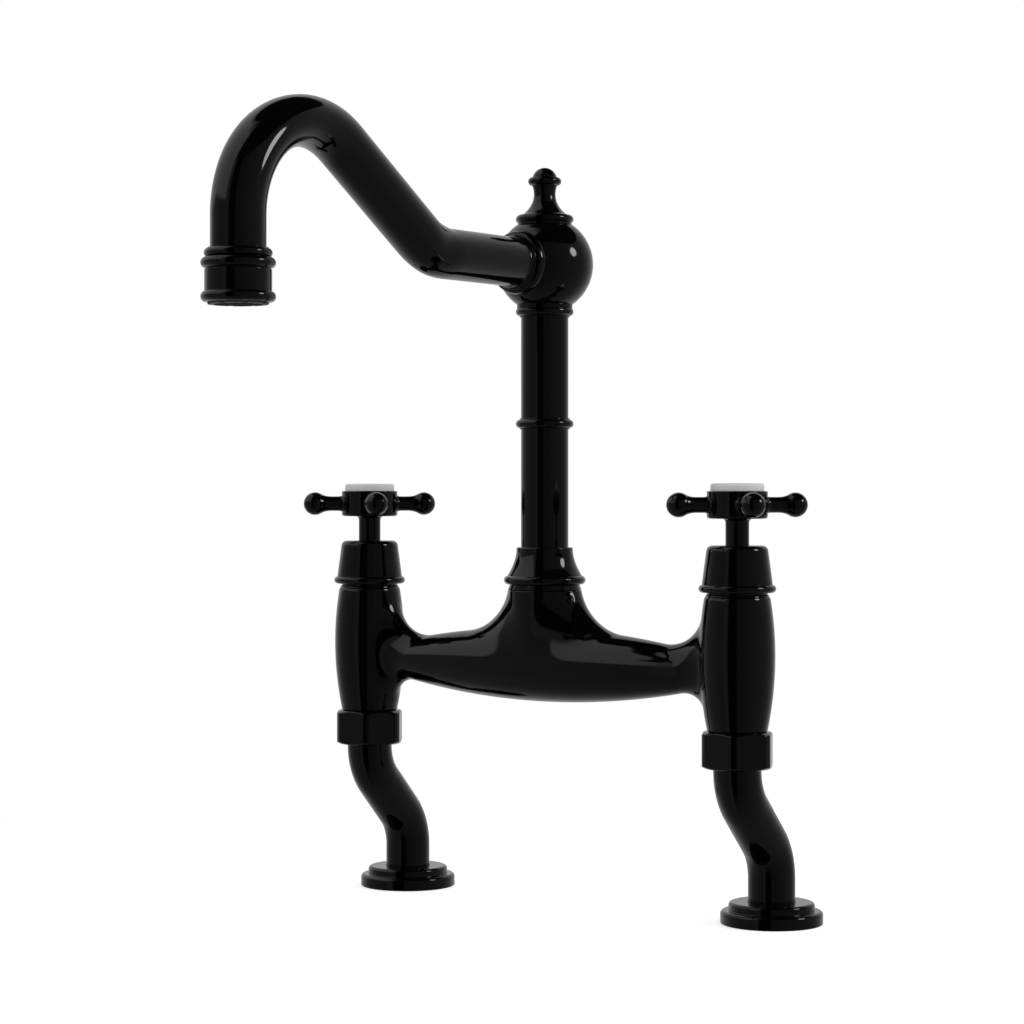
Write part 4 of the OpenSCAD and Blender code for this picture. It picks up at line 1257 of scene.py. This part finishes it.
@dataclass(frozen=True)
class SwanNeck:
    """The swan-neck arm and the stepped collar at its root."""

    ball_front: float
    outer_r: float = 11.25
    wall: float = 1.85
    sag: float = 0.45
    swelling: float = 0.8
    elbow_r: float = 39.9
    rise_angle: float = 33.0
    crook_r: float = 42.2
    crook_rise: float = 5.2
    flattening: float = 1.4
    collar_r: float = 14.6
    collar_back: float = 19.6
    collar_front: float = 24.6
    step_r: float = 12.8
    flare_end: float = 28.2
    neck_r: float = 12.2
    collar_round: float = 1.6
    groove: float = 0.5
    lip_r: float = 0.6
    lap: float = 0.3
    root: float = 4.0

    def path(self) -> np.ndarray:
        """Stations of the arm: level, up by the elbow, over by the crook, and down to the nozzle.

        The crook is flattened, and the elbow swells by less.

        Returns:
            Rows of distance along, height above the arm's axis, heading and flattening.
        """
        turn = math.radians(self.rise_angle)
        crook_y = LAYOUT.spout_reach - self.crook_r
        start_z = self.elbow_r * (1 - math.cos(turn))
        rise = (self.crook_rise + self.crook_r * math.cos(turn) - start_z) / math.sin(turn)
        level = crook_y - (self.crook_r + self.elbow_r) * math.sin(turn) - rise * math.cos(turn)
        elbow = turn_path((level, self.elbow_r), self.elbow_r, (0, self.rise_angle), 36, -self.swelling)
        headings = (self.rise_angle, -90)
        crook = turn_path((crook_y, self.crook_rise), self.crook_r, headings, 110, self.flattening)
        end = (LAYOUT.spout_reach, LAYOUT.tube_end_z - LAYOUT.arm_axis_z + self.sag, -90.0, 0.0)
        return joined_path((self.ball_front - self.root, 0.0, 0.0, 0.0), (elbow, crook), end, (12, 16, 6))

    def collar(self) -> np.ndarray:
        """The arm's collar: neck, a rounded disc whose front is a quarter of an oval, a lip and a flare."""
        bore, back = self.outer_r + FIT, self.ball_front - self.lap
        half = self.collar_round
        foot = [[bore, back], [self.neck_r, back], [self.neck_r, self.collar_back]]
        disc = arc_run(self.collar_r - half, self.collar_back + half, half, -90, 0, 10)
        share = np.linspace(0, 1, 15)[1:]
        oval_r = self.step_r + (self.collar_r - self.step_r) * np.sqrt(1 - share**2)
        oval_l = self.collar_front - self.collar_back - half
        oval = np.stack([oval_r, self.collar_back + half + oval_l * share], axis=1)
        groove_r = self.step_r - self.groove
        groove = [[groove_r, self.collar_front + 0.1], [groove_r, self.collar_front + 0.35]]
        lip = arc_run(groove_r - 0.25, self.collar_front + 0.85, self.lip_r, -60, 60, 10)
        flare = curve_run(tuple(lip[-1]), (self.outer_r + 0.12, self.flare_end), 2.2, 14)
        return np.vstack([foot, disc, oval, groove, lip, flare[1:], [[bore, self.flare_end]]])

    def build(self) -> None:
        """Adds the arm and its collar."""
        x, y, _ = LAYOUT.post
        middle = (x, y, LAYOUT.arm_axis_z - self.sag)
        arm = tube(self.path(), middle, self.outer_r, self.outer_r - self.wall)
        add_piece("swan_neck_tube", [arm], Body.SPOUT, "spout_arm")
        collar = turned(self.collar(), middle, Axis.FORWARD)
        add_piece("stepped_arm_collar", [collar], Body.SPOUT, "arm_collar")


@dataclass(frozen=True)
class Nozzle:
    """The beaded sleeve on the spout's end, and the aerator's housing below it."""

    bead_r: float = 15.05
    bead_half: float = 2.3
    small_bead_r: float = 13.7
    small_bead_half: float = 2.0
    bead_rise: float = 2.6
    bead_spacing: float = 3.9
    valley_r: float = 12.75
    sleeve_h: float = 8.3
    sleeve_r: float = 12.2
    tube_bore_r: float = 9.4
    socket_r: float = 11.03
    thread_r: float = 11.5
    thread_l: float = 6.3
    housing_r: float = 13.5
    screen_rim_r: float = 12.23
    screen_seat_z: float = 272.0
    screen_r: float = 10.93
    screen_top_z: float = 275.9

    def sleeve(self) -> np.ndarray:
        """The sleeve: thread, large bead, small bead, a thin lip on the tube, and the bore."""
        low = LAYOUT.housing_top_z
        bead_z = low + self.bead_rise
        small_z = bead_z + self.bead_spacing
        valley = self.valley_r
        thread = rounded(
            [
                (self.tube_bore_r, low - self.thread_l, 0.3),
                (self.thread_r, low - self.thread_l, 0.4),
                (self.thread_r, low, 0),
                (self.bead_r - self.bead_half + 0.2, low, 0),
            ],
            closed=False,
        )
        bead = bead_run(self.bead_r, self.bead_half, bead_z, self.bead_r - self.bead_half + 0.2, valley)
        small = bead_run(self.small_bead_r, self.small_bead_half, small_z, valley - 0.1, self.sleeve_r)
        top = low + self.sleeve_h
        lip = rounded(
            [
                (self.sleeve_r, float(small[-1, 1]) + RUN_GAP, 0),
                (self.sleeve_r, top, 0.3),
                (self.socket_r, top, 0.1),
                (self.socket_r, LAYOUT.tube_end_z, 0),
                (self.tube_bore_r, LAYOUT.tube_end_z, 0),
            ],
            closed=False,
        )
        return np.vstack([thread, bead, small, lip])

    def housing(self) -> np.ndarray:
        """The housing: a barrel with a bead at its mouth, and the seats of the screen and the thread."""
        low, high = LAYOUT.outlet_z, LAYOUT.housing_top_z
        bead_z = low + self.bead_half + 0.1
        bead = arc_run(self.bead_r - self.bead_half, bead_z, self.bead_half, -90, 62, 30)
        rest = rounded(
            [
                (self.housing_r, float(bead[-1, 1]) + RUN_GAP, 0),
                (self.housing_r, high, 0.35),
                (self.thread_r + FIT, high, 0.2),
                (self.thread_r + FIT, self.screen_top_z, 0),
                (self.screen_r, self.screen_top_z, 0),
                (self.screen_r, self.screen_seat_z, 0),
                (self.screen_rim_r, self.screen_seat_z, 0),
                (self.screen_rim_r, low + 0.1, 0),
            ],
            closed=False,
        )
        return np.vstack([bead, rest])

    def build(self) -> None:
        """Adds the sleeve and the housing."""
        add_piece("beaded_nozzle_sleeve", [turned(self.sleeve(), LAYOUT.outlet)], Body.SPOUT, "nozzle_sleeve")
        add_piece("aerator_barrel", [turned(self.housing(), LAYOUT.outlet)], Body.SPOUT, "aerator_housing")


@dataclass(frozen=True)
class Studio:
    """The camera, the lamp, the surroundings and the floor.

    Turns in the room are in radians from the camera's side, and heights are the sine of the rise.
    """

    camera_place: Spot = (696.6, -1052.0, 195.35)
    camera_turn: float = 35.0
    lens: float = 93.65
    shift_up: float = -0.0211
    key_turn: float = 74.0
    key_rise: float = 27.0
    key_distance: float = 1.3
    key_height: float = 0.2
    key_size: float = 0.37
    key_power: float = 2.3
    ambient: float = 0.62
    wall_light: Pair = (0.07, 0.19)
    wall_span: Pair = (0.2, 1.9)
    strip_light: float = 0.165
    strip_span: Pair = (-0.85, -0.6)
    strip_soft: float = 0.04
    gap_span: Pair = (-0.61, -0.12)
    gap_soft: float = 0.05
    backdrop_light: float = 0.62
    backdrop_turn: float = 2.3
    backdrop_soft: float = 0.55
    ceiling_light: float = 0.008
    ceiling_half: Pair = (1.22, 0.95)
    ceiling_middle: Pair = (0.1, 0.15)
    ceiling_soft: float = 0.03
    panel_light: float = 0.65
    panel_span: Pair = (-4.0, -0.85)
    panel_soft: float = 0.08
    panel_edge: float = 0.03
    panel_bottom: tuple[float, ...] = (-2.4, -1.8, 0.0, 0.29)
    panel_top: tuple[float, ...] = (-3.1, -2.0, 0.7, 0.97)
    ground_light: float = 0.13
    ground_span: Pair = (-0.98, -0.55)
    floor_r: float = 0.45
    floor_y: float = -60.0
    floor_glow: float = 0.6
    floor_colour: float = 0.85

    def camera(self) -> None:
        """Adds the camera at the photograph's place, level, with its horizon above the frame's middle."""
        data = bpy.data.cameras.new("camera")
        data.lens = self.lens
        data.sensor_width = 36.0
        data.shift_y = self.shift_up
        data.clip_start = 0.05
        data.clip_end = 50
        made = add_linked("camera", data)
        made.location = [v * MM for v in self.camera_place]
        made.rotation_euler = (math.pi / 2, 0, math.radians(self.camera_turn))
        bpy.context.scene.camera = made

    def key(self) -> None:
        """Adds the one lamp, a round soft light to the right and above that makes the small bright spots."""
        turn = math.radians(self.camera_turn + self.key_turn - 90)
        rise = math.radians(self.key_rise)
        ahead = np.array([math.cos(rise) * math.cos(turn), math.cos(rise) * math.sin(turn), math.sin(rise)])
        data = bpy.data.lights.new("soft_key", "AREA")
        data.shape = "DISK"
        data.size = self.key_size
        data.energy = self.key_power
        made = add_linked("soft_key", data)
        made.location = ahead * self.key_distance + np.array([0, 0, self.key_height])
        made.rotation_euler = (math.pi / 2 - rise, 0, turn + math.pi / 2)
        made.visible_camera = False

    @staticmethod
    def window(tree: Tree, value: Socket, span: Pair, soft: float) -> Socket:
        """A soft window: 1 where the value lies in the span, and 0 past a soft edge on both sides.

        Args:
            tree: The tree that gets the nodes.
            value: What is tested.
            span: The window's two sides.
            soft: Half the width of the edge at each side.

        Returns:
            The share, from 0 to 1.
        """
        low, high = span
        settings = {"interpolation_type": "SMOOTHSTEP"}
        edges = [
            add_node(tree, "ShaderNodeMapRange", settings, (value, start, end, 0.0, 1.0)).outputs["Result"]
            for start, end in ((low - soft, low + soft), (high + soft, high - soft))
        ]
        return add_node(tree, "ShaderNodeMath", {"operation": "MULTIPLY"}, edges).outputs[0]

    @staticmethod
    def ray_kinds(tree: Tree) -> tuple[Socket, Socket]:
        """Whether a ray comes from the camera, straight or through glass, and whether it is a reflection."""
        rays = add_node(tree, "ShaderNodeLightPath").outputs
        kinds = (rays["Is Camera Ray"], rays["Is Transmission Ray"])
        seen = add_node(tree, "ShaderNodeMath", {"operation": "MAXIMUM"}, kinds).outputs[0]
        return seen, rays["Is Glossy Ray"]

    def panel(self, tree: Tree, turn: Socket, height: Socket) -> Socket:
        """The share of the soft panel on the left, whose lower and upper edges slope with the turn.

        Each edge is given by two turns and by its heights at them, and is level outside them.

        Args:
            tree: The tree that gets the nodes.
            turn: The turn from the camera's side.
            height: The sine of the rise.

        Returns:
            The share, 1 inside the panel.
        """
        bottom, top = (
            add_node(tree, "ShaderNodeMapRange", inputs=(turn, *edge)).outputs["Result"]
            for edge in (self.panel_bottom, self.panel_top)
        )
        gaps = [
            add_node(tree, "ShaderNodeMath", {"operation": "SUBTRACT"}, pair).outputs[0]
            for pair in ((height, bottom), (top, height))
        ]
        inner = add_node(tree, "ShaderNodeMath", {"operation": "MINIMUM"}, gaps).outputs[0]
        inputs = (inner, -self.panel_edge, self.panel_edge, 0.0, 1.0)
        in_height = add_node(tree, "ShaderNodeMapRange", inputs=inputs).outputs["Result"]
        in_turn = self.window(tree, turn, self.panel_span, self.panel_soft)
        return add_node(tree, "ShaderNodeMath", {"operation": "MULTIPLY"}, (in_turn, in_height)).outputs[0]

    def reflected_room(self, tree: Tree) -> Socket:
        """The room as the gloss shows it.

        Dim grey walls in front, which brighten to the sides, with a strip and one dark gap; a white backdrop
        behind; a dark ceiling; a large soft panel high on the left; and a pale ground far below.

        Args:
            tree: The tree that gets the nodes.

        Returns:
            The brightness in each direction.
        """
        place = add_node(tree, "ShaderNodeTexCoord").outputs["Generated"]
        inputs = {"Vector": place, "Rotation": (0, 0, -math.radians(self.camera_turn))}
        direction = add_node(tree, "ShaderNodeMapping", inputs=inputs).outputs[0]
        across, deep, height = add_node(tree, "ShaderNodeSeparateXYZ", inputs=(direction,)).outputs
        front = add_node(tree, "ShaderNodeMath", {"operation": "MULTIPLY"}, (deep, -1.0)).outputs[0]
        turn = add_node(tree, "ShaderNodeMath", {"operation": "ARCTAN2"}, (across, front)).outputs[0]
        sides = add_node(tree, "ShaderNodeMath", {"operation": "ABSOLUTE"}, (turn,)).outputs[0]
        inputs = (sides, *self.wall_span, *self.wall_light)
        room = add_node(tree, "ShaderNodeMapRange", inputs=inputs).outputs["Result"]
        ahead = self.window(tree, turn, (-self.backdrop_turn, self.backdrop_turn), self.backdrop_soft)
        behind = add_node(tree, "ShaderNodeMath", {"operation": "SUBTRACT"}, (1.0, ahead)).outputs[0]
        inputs = (height, *self.ground_span, 1.0, 0.0)
        below = add_node(tree, "ShaderNodeMapRange", inputs=inputs).outputs["Result"]
        layers = (
            (self.window(tree, turn, self.strip_span, self.strip_soft), self.strip_light),
            (self.window(tree, turn, self.gap_span, self.gap_soft), 0.0),
            (behind, self.backdrop_light),
            (self.ceiling(tree, direction, height), self.ceiling_light),
            (self.panel(tree, turn, height), self.panel_light),
            (below, self.ground_light),
        )
        for share, light in layers:
            inputs = {0: share, 2: room, 3: light}
            room = add_node(tree, "ShaderNodeMix", {"data_type": "FLOAT"}, inputs).outputs[0]
        return room

    def ceiling(self, tree: Tree, direction: Socket, height: Socket) -> Socket:
        """The share of the dark ceiling, an oval on a plane overhead.

        A direction meets the plane at x / z and y / z, less the oval's middle and over its half lengths.

        Args:
            tree: The tree that gets the nodes.
            direction: The direction, turned to the camera's side.
            height: The sine of the rise.

        Returns:
            The share, 1 inside the oval.
        """
        rise = add_node(tree, "ShaderNodeCombineXYZ", inputs=(height, height, height)).outputs[0]
        spot = add_node(tree, "ShaderNodeVectorMath", {"operation": "DIVIDE"}, (direction, rise)).outputs[0]
        across, deep = self.ceiling_half
        shift_across, shift_deep = self.ceiling_middle
        inputs = (spot, (1 / across, 1 / deep, 0), (-shift_across / across, -shift_deep / deep, 0))
        oval = add_node(tree, "ShaderNodeVectorMath", {"operation": "MULTIPLY_ADD"}, inputs).outputs[0]
        reach = add_node(tree, "ShaderNodeVectorMath", {"operation": "LENGTH"}, (oval,)).outputs["Value"]
        overhead = add_node(tree, "ShaderNodeMath", {"operation": "GREATER_THAN"}, (height, 0.01)).outputs[0]
        inside = self.window(tree, reach, (-1.0, 1.0), self.ceiling_soft)
        return add_node(tree, "ShaderNodeMath", {"operation": "MULTIPLY"}, (inside, overhead)).outputs[0]

    def surroundings(self) -> None:
        """Builds the world: white to the camera, the room to the gloss, and an even light to the rest."""
        world = bpy.data.worlds.new("studio")
        bpy.context.scene.world = world
        tree = cleared_tree(world)
        seen, glossy = self.ray_kinds(tree)
        strength = self.ambient
        for share, light in ((glossy, self.reflected_room(tree)), (seen, 1.0)):
            inputs = {0: share, 2: strength, 3: light}
            strength = add_node(tree, "ShaderNodeMix", {"data_type": "FLOAT"}, inputs).outputs[0]
        back = add_node(tree, "ShaderNodeBackground", inputs={"Color": (1, 1, 1, 1), "Strength": strength})
        add_node(tree, "ShaderNodeOutputWorld", inputs={"Surface": back.outputs[0]})

    def floor(self) -> None:
        """Adds a round white floor that takes the tap's soft shadow and is lost in the white round it."""
        rings = np.linspace(0, self.floor_r / MM, 24)
        profile = np.stack([rings, np.zeros(24)], axis=1)
        made = add_mesh("floor", patches_mesh([turned(profile, (0, self.floor_y, 0), closed=False)]))
        if made.data.polygons[0].normal.z < 0:
            made.data.flip_normals()
        material = bpy.data.materials.new("white_floor")
        tree = cleared_tree(material)
        seen, glossy = self.ray_kinds(tree)
        glow = add_node(tree, "ShaderNodeMath", {"operation": "MULTIPLY"}, (seen, self.floor_glow)).outputs[0]
        paint = add_node(tree, "ShaderNodeBsdfDiffuse", inputs={"Color": (*[self.floor_colour] * 3, 1)})
        light = add_node(tree, "ShaderNodeEmission", inputs={"Color": (1, 1, 1, 1), "Strength": glow})
        both = add_node(tree, "ShaderNodeAddShader", inputs=(paint.outputs[0], light.outputs[0]))
        clear = add_node(tree, "ShaderNodeBsdfTransparent")
        shown = add_node(tree, "ShaderNodeMixShader", inputs=(glossy, both.outputs[0], clear.outputs[0]))
        add_node(tree, "ShaderNodeOutputMaterial", inputs={"Surface": shown.outputs[0]})
        made.data.materials.clear()
        made.data.materials.append(material)

    def build(self) -> None:
        """Adds everything round the tap."""
        self.camera()
        self.key()
        self.surroundings()
        self.floor()


def dress_inner_nodes(frame: dict) -> None:
    """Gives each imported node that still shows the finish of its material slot.
    """
    finishes = {finish.slot: finish for finish in INNER_FINISHES}
    for part in frame["record"]["subparts"]:
        node = frame["nodes"][part["node"]]
        finish = finishes.get(part["material_slot"])
        if node.hide_render or finish is None:
            continue
        for spot in node.material_slots:
            spot.material = finish.material()
        log.info("%s: packed solid in %s", node.name, finish.name)


def main() -> None:
    """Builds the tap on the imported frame, then the studio."""
    logging.basicConfig(level=logging.INFO, format="%(message)s")
    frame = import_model()
    bpy.context.scene.view_settings.view_transform = "Standard"
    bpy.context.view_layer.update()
    BridgeCasting().build()
    for side in Side:
        DeckLeg(side).build()
        ValveBonnet(side).build()
        CrossHandle(side).build()
    post = SwivelPost()
    post.build()
    SwanNeck(post.ball_front).build()
    Nozzle().build()
    dress_inner_nodes(frame)
    Studio().build()


if __name__ == "__main__":
    main()
